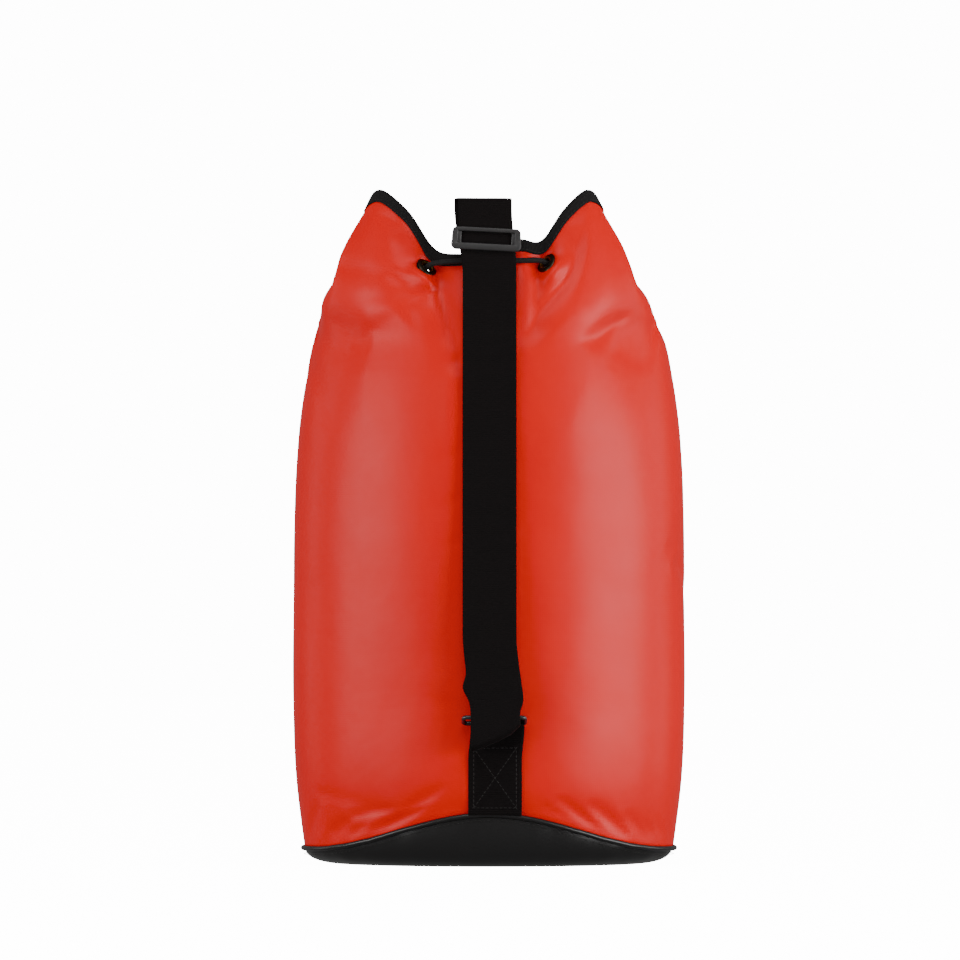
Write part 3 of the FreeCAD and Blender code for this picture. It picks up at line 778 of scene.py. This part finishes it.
class KITBAG_OT_tube(Step):
    """Shapes the coated-fabric tube, lets it fill out as cloth and gives it its thickness"""

    bl_idname = "kitbag.tube"
    bl_label = "Tube"

    def execute(self, context):
        sizes = self.sizes
        grid = tube_grid(sizes)
        grid = fold(grid, grid_normals(grid))
        grid = turn_eyelets(grid, grid_normals(grid), sizes)
        rows, count = grid.shape[:2]
        faces, corners = grid_faces(rows, count)
        uvs = np.column_stack([corners[:, 1] / count * 0.95, corners[:, 0] / (rows - 1) * 0.6])
        piece = new_piece("tube", grid.reshape(-1, 3), faces, uvs, MATERIALS["shell"])
        grid = inflate(piece, sizes, grid)
        piece.data.vertices.foreach_set("co", grid.astype(np.float32).ravel())
        piece.data.update()
        Tube.grid = grid
        Tube.normals = grid_normals(grid)
        spots = [place for place, normal in eyelet_spots(sizes)]
        mesh = bmesh.new()
        mesh.from_mesh(piece.data)
        holes = [f for f in mesh.faces
                 if min((f.calc_center_median() - Vector(spot)).length for spot in spots) < 5.8 * MM]
        bmesh.ops.delete(mesh, geom=holes, context="FACES")
        mesh.to_mesh(piece.data)
        mesh.free()
        baked(piece, "SOLIDIFY", thickness=sizes.fabric, offset=-1.0)
        finish_piece(piece, "bag", ("body_shell",))
        return {"FINISHED"}


class KITBAG_OT_base(Step):
    """Shapes the base panel, which hangs from the seam and lies flat on the floor"""

    bl_idname = "kitbag.base"
    bl_label = "Base"

    def execute(self, context):
        sizes = self.sizes
        rim = Tube.grid[0]
        count = len(rim)
        rows = []
        curve = np.linspace(0, 1, 22)
        foot = rim * np.array([0.80, 0.76, 0.0])
        knee = rim * np.array([0.985, 0.985, 0.06])
        for s in curve:
            rows.append(rim * (1 - s) ** 2 + knee * 2 * s * (1 - s) + foot * s * s)
        for s in np.linspace(0.12, 0.97, 12):
            rows.append(foot * (1 - s))
        grid = np.array(rows)
        turn = np.arange(count) / count * 2 * math.pi
        rise = np.concatenate([np.sin(curve * math.pi) * (1 - curve), np.zeros(12)])[:, None]
        ripple = (np.sin(turn * 23 + 0.7) * 0.55 + np.sin(turn * 37 + 2.1) * 0.35 + np.sin(turn * 11) * 0.6)
        outward = rim / np.linalg.norm(rim, axis=1, keepdims=True)
        grid += outward[None] * (rise * ripple[None])[..., None] * 1.0 * MM
        grid[:, :, 2] = np.maximum(grid[:, :, 2], 0.0)
        points = list(grid[::-1].reshape(-1, 3)) + [(0, 0, 0)]
        rows_count = len(grid)
        faces, corners = grid_faces(rows_count, count)
        place = grid[::-1]
        flat = place[:, :, :2]
        uvs = []
        for r, c in corners.astype(int):
            uvs.append(flat[min(r, rows_count - 1), c % count])
        for c in range(count):
            faces.append((len(points) - 1, (c + 1) % count, c))
            uvs += [(0, 0), flat[0, (c + 1) % count], flat[0, c]]
        piece = new_piece("base", points, faces, uvs, MATERIALS["base"])
        baked(piece, "SOLIDIFY", thickness=1.2 * MM, offset=-1.0)
        finish_piece(piece, "bag", ("base_panel",))
        return {"FINISHED"}


class KITBAG_OT_piping(Step):
    """Runs the piping round the seam between tube and base"""

    bl_idname = "kitbag.piping"
    bl_label = "Piping"

    def execute(self, context):
        sizes = self.sizes
        seam = Tube.grid[0]
        outward = Tube.normals[2]
        path = seam + outward * sizes.piping * 0.30
        frames = path_frames(path, outward, True)
        piece = swept("piping", path, frames, circle(sizes.piping / 2, 14), MATERIALS["base"])
        finish_piece(piece, "bag", ("base_piping",))
        return {"FINISHED"}


class KITBAG_OT_binding(Step):
    """Folds the binding tape over the mouth's edge"""

    bl_idname = "kitbag.binding"
    bl_label = "Binding"

    def execute(self, context):
        sizes = self.sizes
        count = sizes.around
        wall, thick = sizes.fabric, sizes.binding_thick
        drops = np.array([1.0, 0.85, 0.6, 0.35, 0.12]) * sizes.binding
        rings = []
        for column in range(count):
            edge, edge_normal = Tube.below_edge(column, 0.0)
            under, _ = Tube.below_edge(column, 3 * MM)
            up = (edge - under) / np.linalg.norm(edge - under)
            ring = []
            places = [Tube.below_edge(column, drop) for drop in drops]
            for place, normal in places:
                ring.append(place + normal * (thick + 0.15 * MM))
            ring.append(edge + edge_normal * thick * 0.7 + up * thick * 0.75)
            ring.append(edge - edge_normal * wall * 0.5 + up * thick * 1.15)
            ring.append(edge - edge_normal * (wall + thick * 0.7) + up * thick * 0.75)
            for place, normal in places[::-1]:
                ring.append(place - normal * (wall + thick + 0.15 * MM))
            ring.append(places[0][0] - places[0][1] * (wall + 0.1 * MM))
            ring.append(edge - edge_normal * wall * 0.5)
            ring.append(places[0][0] + places[0][1] * 0.1 * MM)
            rings.append(ring)
        points = np.array(rings)
        faces, corners = grid_faces(count, points.shape[1], True, True)
        run = np.concatenate([[0], np.cumsum(np.linalg.norm(np.diff(Tube.grid[-1], axis=0), axis=1))])
        run = np.append(run, run[-1] + 4 * MM)
        uvs = np.column_stack([run[corners[:, 0].astype(int)], corners[:, 1] * 2 * MM])
        piece = new_piece("mouth_binding_tape", points.reshape(-1, 3), faces, uvs, MATERIALS["tape"])
        finish_piece(piece, "bag", ("mouth_binding",))
        return {"FINISHED"}


def lathe(outline, place, normal, segments=30):
    """Points and faces of a closed outline (radius, height) turned about a normal at a place."""
    normal = Vector(normal).normalized()
    turn = normal.to_track_quat("Z", "Y").to_matrix()
    points, faces = [], []
    count = len(outline)
    for s in range(segments):
        angle = 2 * math.pi * s / segments
        for radius, height in outline:
            spot = turn @ Vector((radius * math.cos(angle), radius * math.sin(angle), height))
            points.append(Vector(place) + spot)
    for s in range(segments):
        t = (s + 1) % segments
        for c in range(count):
            d = (c + 1) % count
            faces.append((s * count + c, t * count + c, t * count + d, s * count + d))
    return points, faces


def eyelet_spots(sizes):
    """Place and normal of each eyelet."""
    return [Tube.below_edge((2 * k + 1) * sizes.around / 16, sizes.eyelet_drop) for k in range(8)]


class KITBAG_OT_eyelets(Step):
    """Sets the brass eyelets through the fabric, with their washers behind"""

    bl_idname = "kitbag.eyelets"
    bl_label = "Eyelets"

    def execute(self, context):
        sizes = self.sizes
        bore, outer = sizes.eyelet_bore / 2, sizes.eyelet_outer / 2
        points, faces = [], []
        washer_points, washer_faces = [], []
        edge = outer - bore
        # Share of the flange's width from the bore, and height in mm, round the eyelet's section.
        profile = ((0.0, 0.4), (0.06, 1.0), (0.22, 1.5), (0.45, 1.35), (0.75, 0.95), (0.95, 0.6), (1.0, 0.1),
                   (0.92, -0.15), (0.2, -0.15), (0.14, -3.4), (0.3, -3.9), (0.12, -4.2), (0.0, -3.6))
        turned = [(bore + edge * share, height * MM) for share, height in profile]
        back = ((0.16, -1.3), (0.9, -1.3), (0.98, -1.7), (0.9, -2.2), (0.4, -2.6), (0.16, -2.5))
        washer = [(bore + edge * share, height * MM) for share, height in back]
        for place, normal in eyelet_spots(sizes):
            new_points, new_faces = lathe(turned, place + normal * 0.3 * MM, normal)
            offset = len(points)
            points += new_points
            faces += [tuple(i + offset for i in face) for face in new_faces]
            new_points, new_faces = lathe(washer, place, normal)
            offset = len(washer_points)
            washer_points += new_points
            washer_faces += [tuple(i + offset for i in face) for face in new_faces]
        piece = new_piece("eyelet_set", points, faces, None, MATERIALS["eyelet"])
        # The faces of the lip round the bore take the brighter brass: a painted highlight.
        piece.data.materials.append(MATERIALS["rim"])
        per_ring = len(profile)
        for index, face in enumerate(piece.data.polygons):
            if index % per_ring in (0, 1, per_ring - 1):
                face.material_index = 1
        finish_piece(piece, "bag", ("eyelets",))
        washers = new_piece("eyelet_backs", washer_points, washer_faces, None, MATERIALS["eyelet"])
        finish_piece(washers, "bag", ("eyelet_washers",))
        return {"FINISHED"}


# Where the cord runs through the strap's sewn end, in the strap's own upright frame.
STRAP_END_DEPTH = 5.6 * MM
STRAP_END_HEIGHT = 411 * MM


class KITBAG_OT_cord(Step):
    """Threads the drawcord through the eyelets; its front stretch follows the strap"""

    bl_idname = "kitbag.cord"
    bl_label = "Drawcord"

    def execute(self, context):
        sizes = self.sizes
        radius = sizes.cord / 2
        spots = eyelet_spots(sizes)
        inside = [place - normal * (7 * MM + radius) for place, normal in spots]
        outside = [place + normal * (radius + 2.2 * MM) for place, normal in spots]
        step = sizes.around / 16

        def over(first, second, lift):
            """Points over the outside of the fabric between two eyelets."""
            result = []
            for share in (0.22, 0.5, 0.78):
                column = first + (second - first) * share
                place, normal = Tube.below_edge(column, sizes.eyelet_drop - 1 * MM)
                result.append(place + normal * (radius + lift))
            return result

        # Between eyelets, the cord hangs a little away from the fabric inside.
        inward = np.array([0.97, 0.97, 1.0])
        route = [inside[0], (inside[0] + inside[1]) / 2 * inward, inside[1]]
        for pair in range(1, 4):
            first, second = 2 * pair - 1, 2 * pair
            route += [spots[first][0], outside[first]]
            route += over((2 * first + 1) * step, (2 * second + 1) * step, 0.8 * MM)
            route += [outside[second], spots[second][0], inside[second]]
            route += [(inside[second] + inside[second + 1]) / 2 * inward, inside[second + 1]]
        line = through(route, 1.2 * MM)
        section = circle(radius, 12)
        piece = swept("drawcord_loop", line, turning_frames(line), section, MATERIALS["cord"], False, True)
        finish_piece(piece, "bag", ("drawcord",))
        hold = np.array(STRAP_PLACE @ Vector((0, STRAP_END_DEPTH, STRAP_END_HEIGHT)))
        for name, index, sign in (("drawcord_front_right", 0, 1), ("drawcord_front_left", 7, -1)):
            place, normal = spots[index]
            middle = np.array([sign * 24 * MM, hold[1] - 0.5 * MM, hold[2] - 1.5 * MM])
            near = np.array([sign * 10 * MM, hold[1], hold[2]])
            centre = np.array([sign * 0.3 * MM, hold[1], hold[2]])
            out = outside[index] + np.array([-sign * 2 * MM, 0, 0])
            route = [inside[index], place, out, middle, near, centre]
            line = through(route, 0.9 * MM)
            half = swept(name, line, turning_frames(line), section, MATERIALS["cord"], False, True)
            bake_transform(half)
            finish_piece(half, None, ())
        return {"FINISHED"}


def ribbon(name, route, strap, place, material, shift=None, wave=0.25 * MM):
    """A strip of webbing along a route in a YZ plane; shift(spot, along, whole) moves its points."""
    line = np.asarray(route, float)
    tangent = np.gradient(line, axis=0)
    tangent /= np.linalg.norm(tangent, axis=1, keepdims=True)
    normal = np.column_stack([-tangent[:, 1], tangent[:, 0]])
    run = np.concatenate([[0], np.cumsum(np.linalg.norm(np.diff(line, axis=0), axis=1))])
    half, thick = strap.width / 2, strap.thick
    # The selvedges are thinner than the middle and rounded.
    across = np.array([-1.0, -0.985, -0.95, -0.8, -0.5, 0.0, 0.5, 0.8, 0.95, 0.985, 1.0])
    deep = np.array([0.0, 0.62, 0.9, 1.0, 1.0, 1.0, 1.0, 1.0, 0.9, 0.62, 0.0]) * thick / 2
    outline = [(x * half, d) for x, d in zip(across, deep)]
    outline += [(x * half, -d) for x, d in zip(across[-2:0:-1], deep[-2:0:-1])]
    points, rows, columns = [], len(line), len(outline)
    for index in range(rows):
        for x, lift in outline:
            sway = wave * math.sin(run[index] / 0.061 + x / half * 1.3) * (x / half) ** 2
            y, z = line[index] + normal[index] * (lift + sway)
            spot = Vector((x, y, z))
            if shift is not None:
                spot = shift(spot, run[index], run[-1])
            points.append(place @ spot)
    faces, corners = grid_faces(rows, columns, True, False)
    widths = np.array([p[0] for p in outline] + [outline[0][0]])
    along = np.minimum(corners[:, 0].astype(int), rows - 1)
    uvs = np.column_stack([widths[corners[:, 1].astype(int)], run[along]])
    last = (rows - 1) * columns
    faces += [tuple(range(columns))[::-1], tuple(range(last, last + columns))]
    uvs = np.vstack([uvs, np.zeros((2 * columns, 2))])
    return new_piece(name, points, faces, uvs, material)


def flat_route(points, radii, spacing=1.2 * MM):
    """A line through points in a plane with rounded corners, evenly sampled."""
    points = [Vector(p) for p in points]
    line = [points[0]]
    for before, point, after, radius in zip(points, points[1:], points[2:], radii):
        back, onward = (before - point).normalized(), (after - point).normalized()
        half = back.angle(onward) / 2
        reach = radius / math.tan(half)
        centre = point + (back + onward).normalized() * radius / math.sin(half)
        start, end = point + back * reach - centre, point + onward * reach - centre
        turn = start.angle_signed(end)
        for step in range(9):
            angle = turn * step / 8
            spin = Matrix.Rotation(-angle, 2)
            line.append(centre + spin @ start)
    line.append(points[-1])
    line = np.array([tuple(p) for p in line])
    keep = np.concatenate([[True], np.linalg.norm(np.diff(line, axis=0), axis=1) > 1e-7])
    line = line[keep]
    run = np.concatenate([[0], np.cumsum(np.linalg.norm(np.diff(line, axis=0), axis=1))])
    even = np.linspace(0, run[-1], max(8, int(run[-1] / spacing)))
    return np.column_stack([np.interp(even, run, line[:, axis]) for axis in range(2)])


class KITBAG_OT_strap(Step):
    """Lays the shoulder strap from its sewn end round the ring and over the top fold"""

    bl_idname = "kitbag.strap"
    bl_label = "Shoulder strap"

    def execute(self, context):
        strap = self.strap
        lo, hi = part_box("shoulder_strap")
        tilt = STRAP_UP.z
        top = (hi.z - FRONT_BAR.z) / tilt - 4.0 * MM
        front = -6.8 * MM
        back = -4.4 * MM
        tail = front + 12.4 * MM
        slack = -19 * MM
        cord_z = STRAP_END_HEIGHT
        loop = self.sizes.cord / 2 + strap.thick / 2 + 0.3 * MM
        route = [
            (back, 0.405), (back, 0.052), (4.0 * MM, 12 * MM), (4.8 * MM, slack), (front, slack),
            (front, top), (tail - 1 * MM, top), (tail - loop, cord_z + 14 * MM),
            (tail - loop, cord_z - loop), (tail + loop, cord_z - loop),
            (tail + loop, cord_z + 8 * MM), (tail - loop + strap.thick + 0.2 * MM, cord_z + 17 * MM),
            (tail - loop + strap.thick + 0.6 * MM, cord_z + 36 * MM),
        ]
        radii = [30 * MM, 20 * MM, 5.8 * MM, 5.8 * MM, 5.6 * MM, 5.6 * MM, 6 * MM,
                 loop * 0.98, loop * 0.98, 4 * MM, 6 * MM]
        line = flat_route(route, radii)

        def lay(spot, along, whole):
            """The slack fold slants down to the left, and the top loop leans a little to the left."""
            low = float(smooth(20 * MM, -10 * MM, spot.z))
            drift = float(smooth(75 * MM, -2 * MM, spot.z))
            high = float(smooth(0.395, 0.458, spot.z))
            back = float(smooth(-3 * MM, 1 * MM, spot.y))
            across = spot.x / (strap.width / 2)
            spot.z += low * (across * 11.5 * MM + (1 - across * across) * -2.0 * MM)
            curl = math.exp(-((spot.z - 26 * MM) / (9 * MM)) ** 2) * float(smooth(-0.6, -1.0, across))
            spot.x += drift * 7.4 * MM - high * (4.0 + 3.5 * back) * MM + 0.4 * MM - curl * 5.0 * MM
            spot.x -= low * float(smooth(0.4, 1.0, across)) * 4.0 * MM
            spot.y -= low * 1.5 * MM
            return spot

        piece = ribbon("shoulder_strap_webbing", line, strap, STRAP_PLACE, MATERIALS["webbing"], lay)
        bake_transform(piece)
        finish_piece(piece, None, ("shoulder_strap",))
        return {"FINISHED"}


class KITBAG_OT_tab(Step):
    """Sews the ring's tab of webbing into the base seam"""

    bl_idname = "kitbag.tab"
    bl_label = "Ring tab"

    def execute(self, context):
        strap = self.strap
        bar = REAR_BAR
        loop = 3.0 * MM
        foot = 47.5 * MM
        column = Tube.grid[:, 0]
        foot_y = float(np.interp(foot, column[:, 2], column[:, 1])) - 1.6 * MM
        neck_z = bar.z - 14 * MM
        neck_y = float(np.interp(neck_z, column[:, 2], column[:, 1])) - 1.5 * MM
        gap = strap.thick + 0.15 * MM
        route = [
            (foot_y, foot), (neck_y, neck_z), (bar.y + loop, bar.z - 3 * MM), (bar.y + loop, bar.z + loop),
            (bar.y - loop, bar.z + loop), (bar.y - loop, bar.z - 3 * MM), (neck_y - gap, neck_z),
            (foot_y - gap, foot),
        ]
        radii = [12 * MM, 2 * MM, loop * 0.99, loop * 0.99, 2 * MM, 12 * MM]
        line = flat_route(route, radii)

        def lay(spot, along, whole):
            flare = float(smooth(96 * MM, 124 * MM, spot.z))
            spot.x += 5.3 * MM + flare * 2.2 * MM
            return spot

        upright = Matrix.Identity(4)
        piece = ribbon("ring_tab_webbing", line, strap, upright, MATERIALS["webbing"], lay, 0.1 * MM)
        finish_piece(piece, "bag", ("strap_tab",))
        return {"FINISHED"}


class KITBAG_OT_slider(Step):
    """Moulds the slider and folds the webbing's sewn end round its centre bar"""

    bl_idname = "kitbag.slider"
    bl_label = "Slider"

    def execute(self, context):
        strap = self.strap
        lo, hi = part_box("slider_frame")
        middle = STRAP_PLACE.inverted() @ ((lo + hi) / 2)
        bar = strap.slider_bar
        width = (hi.x - lo.x) / 2 - bar / 2 - 0.8 * MM
        height = 10 * MM - bar / 2
        front = -10.1 * MM
        corner = 2.6 * MM
        path = []
        for index in range(4):
            cx = (width - corner) * (1 if index in (0, 3) else -1)
            cz = (height - corner) * (1 if index in (0, 1) else -1)
            for step in range(7):
                angle = math.pi / 2 * (index + step / 6)
                path.append((cx + corner * math.cos(angle), cz + corner * math.sin(angle)))
        dense = []
        for a, b in zip(path, path[1:] + path[:1]):
            parts = max(1, int(math.dist(a, b) / (2 * MM)))
            dense += [(a[0] + (b[0] - a[0]) * part / parts, a[1] + (b[1] - a[1]) * part / parts)
                      for part in range(parts)]
        # A slight bow towards the wearer, as such a slider is moulded; the lower bar is the stoutest.
        line = np.array([(x, front + 0.8 * MM * (x / width) ** 2, z) for x, z in dense])
        angles = np.arange(24) / 24 * 2 * math.pi
        power = 0.4
        stout = 0.86 + 0.5 * smooth(0.0, -height, line[:, 2])
        stout += 0.3 * smooth(width * 0.9, width, np.abs(line[:, 0]))

        def outline(index):
            """The bar's rounded section at one place of the frame."""
            return np.column_stack([
                np.sign(np.cos(angles)) * np.abs(np.cos(angles)) ** power * bar / 2 * stout[index],
                np.sign(np.sin(angles)) * np.abs(np.sin(angles)) ** power * 2.0 * MM * stout[index] ** 0.5])

        tilt = Matrix.Rotation(math.radians(3.0), 4, "Y")
        place = STRAP_PLACE @ Matrix.Translation((-2.4 * MM, 0, middle.z - 2 * MM)) @ tilt
        frames = path_frames(line, (0, -1, 0), True)
        piece = swept("slider_moulding", line, frames, outline, MATERIALS["plastic"])
        parts_points, parts_faces = [], []
        blocks = [((sign * width, -4.2 * MM, 0), (bar * 1.3, 9.5 * MM, 6.6 * MM)) for sign in (-1, 1)]
        blocks += [((sign * (width - 2.4 * MM), -8.9 * MM, 0), (6.6 * MM, 2.2 * MM, 2 * height))
                   for sign in (-1, 1)]
        blocks.append(((0, 0.3 * MM, 0), (2 * width + bar * 0.9, 3.2 * MM, 6.8 * MM)))
        for (cx, cy, cz), (sx, sy, sz) in blocks:
            offset = len(parts_points)
            for dz in (-1, 1):
                for dx, dy in ((-1, -1), (1, -1), (1, 1), (-1, 1)):
                    parts_points.append((cx + dx * sx / 2, cy + dy * sy / 2, cz + dz * sz / 2))
            parts_faces += [tuple(i + offset for i in f) for f in (
                (0, 3, 2, 1), (4, 5, 6, 7), (0, 1, 5, 4), (1, 2, 6, 5), (2, 3, 7, 6), (3, 0, 4, 7))]
        cheeks = new_piece("slider_cheeks", parts_points, parts_faces, None, MATERIALS["plastic"])
        baked(cheeks, "BEVEL", width=1.2 * MM, segments=3)
        for part in (piece, cheeks):
            part.data.transform(place)
        finish_piece(piece, "slider", ("slider_frame",))
        finish_piece(cheeks, "slider", ())
        loop = 2.7 * MM
        first = -2.4 * MM
        last = 3.0 * MM
        route = [(first, -26 * MM), (first, 6.2 * MM), (last, 6.2 * MM), (last, -5.5 * MM),
                 (-0.7 * MM, -12.5 * MM), (-0.7 * MM, -26 * MM)]
        line = flat_route(route, [loop * 0.99, loop * 0.99, 5 * MM, 5 * MM])
        end_place = STRAP_PLACE @ Matrix.Translation((0, 0, middle.z))
        end = ribbon("slider_end_webbing", line, strap, end_place, MATERIALS["webbing"], None, 0.05 * MM)
        finish_piece(end, "slider", ("slider_webbing_end",))
        return {"FINISHED"}


class KITBAG_OT_ring(Step):
    """Finishes the lower ring as coated steel"""

    bl_idname = "kitbag.ring"
    bl_label = "Ring"

    def execute(self, context):
        lo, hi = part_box("lower_ring")
        bar = 2.0 * MM
        out = FRONT_BAR - REAR_BAR
        half, corner = (hi.x - lo.x) / 2 - bar, 2.8 * MM
        line = []
        for quarter in range(4):
            sx, sy = (1, 1, -1, -1)[quarter], (1, -1, -1, 1)[quarter]
            for step in range(7):
                angle = math.pi / 2 * (quarter + step / 6)
                x = sx * (half - corner) + corner * math.sin(angle)
                along = sy * (out.length / 2 - corner) + corner * math.cos(angle) + out.length / 2
                line.append(Vector((x + 4.6 * MM, 0, 0)) + REAR_BAR + out.normalized() * along)
        dense = []
        for a, b in zip(line, line[1:] + line[:1]):
            parts = max(1, int((b - a).length / (3 * MM)))
            dense += [tuple(a.lerp(b, part / parts)) for part in range(parts)]
        normal = out.normalized().cross(Vector((1, 0, 0)))
        frames = path_frames(dense, tuple(normal), True)
        piece = swept("ring_wire", dense, frames, circle(bar, 16), MATERIALS["ring"])
        finish_piece(piece, "ring", ("lower_ring",))
        return {"FINISHED"}


def stitch_tree():
    """Geometry nodes that lay stitches along the edges of a mesh."""
    tree = bpy.data.node_groups.new("stitches", "GeometryNodeTree")
    face = tree.interface
    face.new_socket("Geometry", in_out="INPUT", socket_type="NodeSocketGeometry")
    for name, default in (("Spacing", 4 * MM), ("Length", 3.2 * MM), ("Thickness", 0.6 * MM)):
        socket = face.new_socket(name, in_out="INPUT", socket_type="NodeSocketFloat")
        socket.default_value = default
    face.new_socket("Thread", in_out="INPUT", socket_type="NodeSocketMaterial")
    face.new_socket("Geometry", in_out="OUTPUT", socket_type="NodeSocketGeometry")
    enter = add(tree, "NodeGroupInput")
    leave = add(tree, "NodeGroupOutput")
    curve = add(tree, "GeometryNodeMeshToCurve")
    tree.links.new(enter.outputs["Geometry"], curve.inputs["Mesh"])
    spread = add(tree, "GeometryNodeResampleCurve", mode="LENGTH")
    tree.links.new(curve.outputs[0], spread.inputs["Curve"])
    tree.links.new(enter.outputs["Spacing"], spread.inputs["Length"])
    tangent = add(tree, "GeometryNodeInputTangent")
    aim = add(tree, "FunctionNodeAlignRotationToVector", axis="Z")
    tree.links.new(tangent.outputs[0], aim.inputs["Vector"])
    ball = add(tree, "GeometryNodeMeshUVSphere")
    ball.inputs["Segments"].default_value = 6
    ball.inputs["Rings"].default_value = 5
    ball.inputs["Radius"].default_value = 0.5
    grow = add(tree, "ShaderNodeCombineXYZ")
    tree.links.new(enter.outputs["Thickness"], grow.inputs["X"])
    tree.links.new(enter.outputs["Thickness"], grow.inputs["Y"])
    tree.links.new(enter.outputs["Length"], grow.inputs["Z"])
    put = add(tree, "GeometryNodeInstanceOnPoints")
    tree.links.new(spread.outputs[0], put.inputs["Points"])
    tree.links.new(ball.outputs["Mesh"], put.inputs["Instance"])
    tree.links.new(aim.outputs[0], put.inputs["Rotation"])
    tree.links.new(grow.outputs[0], put.inputs["Scale"])
    real = add(tree, "GeometryNodeRealizeInstances")
    tree.links.new(put.outputs[0], real.inputs[0])
    paint = add(tree, "GeometryNodeSetMaterial")
    tree.links.new(real.outputs[0], paint.inputs["Geometry"])
    tree.links.new(enter.outputs["Thread"], paint.inputs["Material"])
    tree.links.new(paint.outputs[0], leave.inputs[0])
    return tree


def stitches(name, lines, strap, body, spacing=1.25):
    """Rows of stitches along open lines of points, as one plain mesh."""
    points, edges = [], []
    for line in lines:
        start = len(points)
        points += [tuple(p) for p in line]
        edges += [(start + i, start + i + 1) for i in range(len(line) - 1)]
    mesh = bpy.data.meshes.new(name)
    mesh.from_pydata(points, edges, [])
    piece = bpy.data.objects.new(name, mesh)
    bpy.context.scene.collection.objects.link(piece)
    tree = bpy.data.node_groups.get("stitches") or stitch_tree()
    modifier = piece.modifiers.new("Stitches", "NODES")
    modifier.node_group = tree
    values = {"Spacing": strap.stitch * spacing, "Length": strap.stitch,
              "Thickness": strap.thread, "Thread": MATERIALS["thread"]}
    for item in tree.interface.items_tree:
        if item.in_out == "INPUT" and item.name in values:
            modifier[item.identifier] = values[item.name]
    baked(piece)
    for polygon in piece.data.polygons:
        polygon.use_smooth = True
    return finish_piece(piece, body, ())


class KITBAG_OT_stitching(Step):
    """Sews the seams: binding, base seam, back seam and ring tab"""

    bl_idname = "kitbag.stitching"
    bl_label = "Stitching"

    def execute(self, context):
        sizes, strap = self.sizes, self.strap
        count = sizes.around
        binding = []
        for column in range(count + 1):
            place, normal = Tube.below_edge(column, sizes.binding * 0.8)
            binding.append(place + normal * (sizes.binding_thick + 0.25 * MM))
        stitches("binding_stitches", [binding], strap, "bag")
        seam = np.vstack([Tube.grid[0], Tube.grid[0][:1]])
        outward = np.vstack([Tube.normals[2], Tube.normals[2][:1]])
        line = seam + outward * 0.35 * MM + np.array([0, 0, -5.5 * MM])
        stitches("base_seam_stitches", [line], strap, "bag")
        back = count // 2
        lines = []
        for offset in (-2, 2):
            lines.append(Tube.grid[2:-4, back + offset] + Tube.normals[2:-4, back + offset] * 0.3 * MM)
        stitches("back_seam_stitches", lines, strap, "bag")
        half = strap.width / 2 - 5 * MM
        column = Tube.grid[:, 0]
        low, high = 54 * MM, REAR_BAR.z - 22 * MM

        def front_of_tab(x, z):
            y = float(np.interp(z, column[:, 2], column[:, 1])) - 1.6 * MM - 2.5 * strap.thick - 0.15 * MM
            return (x + 5.3 * MM, y - 0.1 * MM, z)

        corners = [(-half, low), (half, low), (half, high), (-half, high), (-half, low), (half, high)]
        box = []
        for (x0, z0), (x1, z1) in zip(corners, corners[1:]):
            steps = 14
            box += [front_of_tab(x0 + (x1 - x0) * s / steps, z0 + (z1 - z0) * s / steps)
                    for s in range(steps)]
        box.append(front_of_tab(half, high))
        other = [front_of_tab(-half + 2 * half * s / 14, high - (high - low) * s / 14) for s in range(15)]
        stitches("tab_box_stitches", [box, other], strap, "bag")
        return {"FINISHED"}


STEPS = (
    KITBAG_OT_stage, KITBAG_OT_tube, KITBAG_OT_base, KITBAG_OT_piping, KITBAG_OT_binding, KITBAG_OT_eyelets,
    KITBAG_OT_cord, KITBAG_OT_strap, KITBAG_OT_tab, KITBAG_OT_slider, KITBAG_OT_ring, KITBAG_OT_stitching,
)


class KITBAG_PT_panel(bpy.types.Panel):
    """Lists the bag's steps and settings"""

    bl_idname = "KITBAG_PT_panel"
    bl_label = "Kit Bag"
    bl_space_type = "VIEW_3D"
    bl_region_type = "UI"
    bl_category = "Kit Bag"

    def draw(self, context):
        for step in STEPS:
            self.layout.operator(step.bl_idname)
        for group in ("kit_bag_sizes", "kit_bag_strap", "kit_bag_colours"):
            settings = getattr(context.scene, group)
            for name in settings.__annotations__:
                self.layout.prop(settings, name)


CLASSES = (KitBagSizes, KitBagStrap, KitBagColours) + STEPS + (KITBAG_PT_panel,)


def register():
    """Registers the settings, the operators and the panel."""
    for cls in CLASSES:
        bpy.utils.register_class(cls)
    bpy.types.Scene.kit_bag_sizes = PointerProperty(type=KitBagSizes)
    bpy.types.Scene.kit_bag_strap = PointerProperty(type=KitBagStrap)
    bpy.types.Scene.kit_bag_colours = PointerProperty(type=KitBagColours)


def unregister():
    """Takes everything that register added away again."""
    for name in ("kit_bag_sizes", "kit_bag_strap", "kit_bag_colours"):
        delattr(bpy.types.Scene, name)
    for cls in reversed(CLASSES):
        bpy.utils.unregister_class(cls)


def main():
    """Makes the bag step by step."""
    register()
    scene = bpy.context.scene
    make_materials(scene.kit_bag_colours, scene.kit_bag_strap)
    for step in STEPS:
        getattr(bpy.ops.kitbag, step.bl_idname.split(".")[1])()


if __name__ == "__main__":
    main()
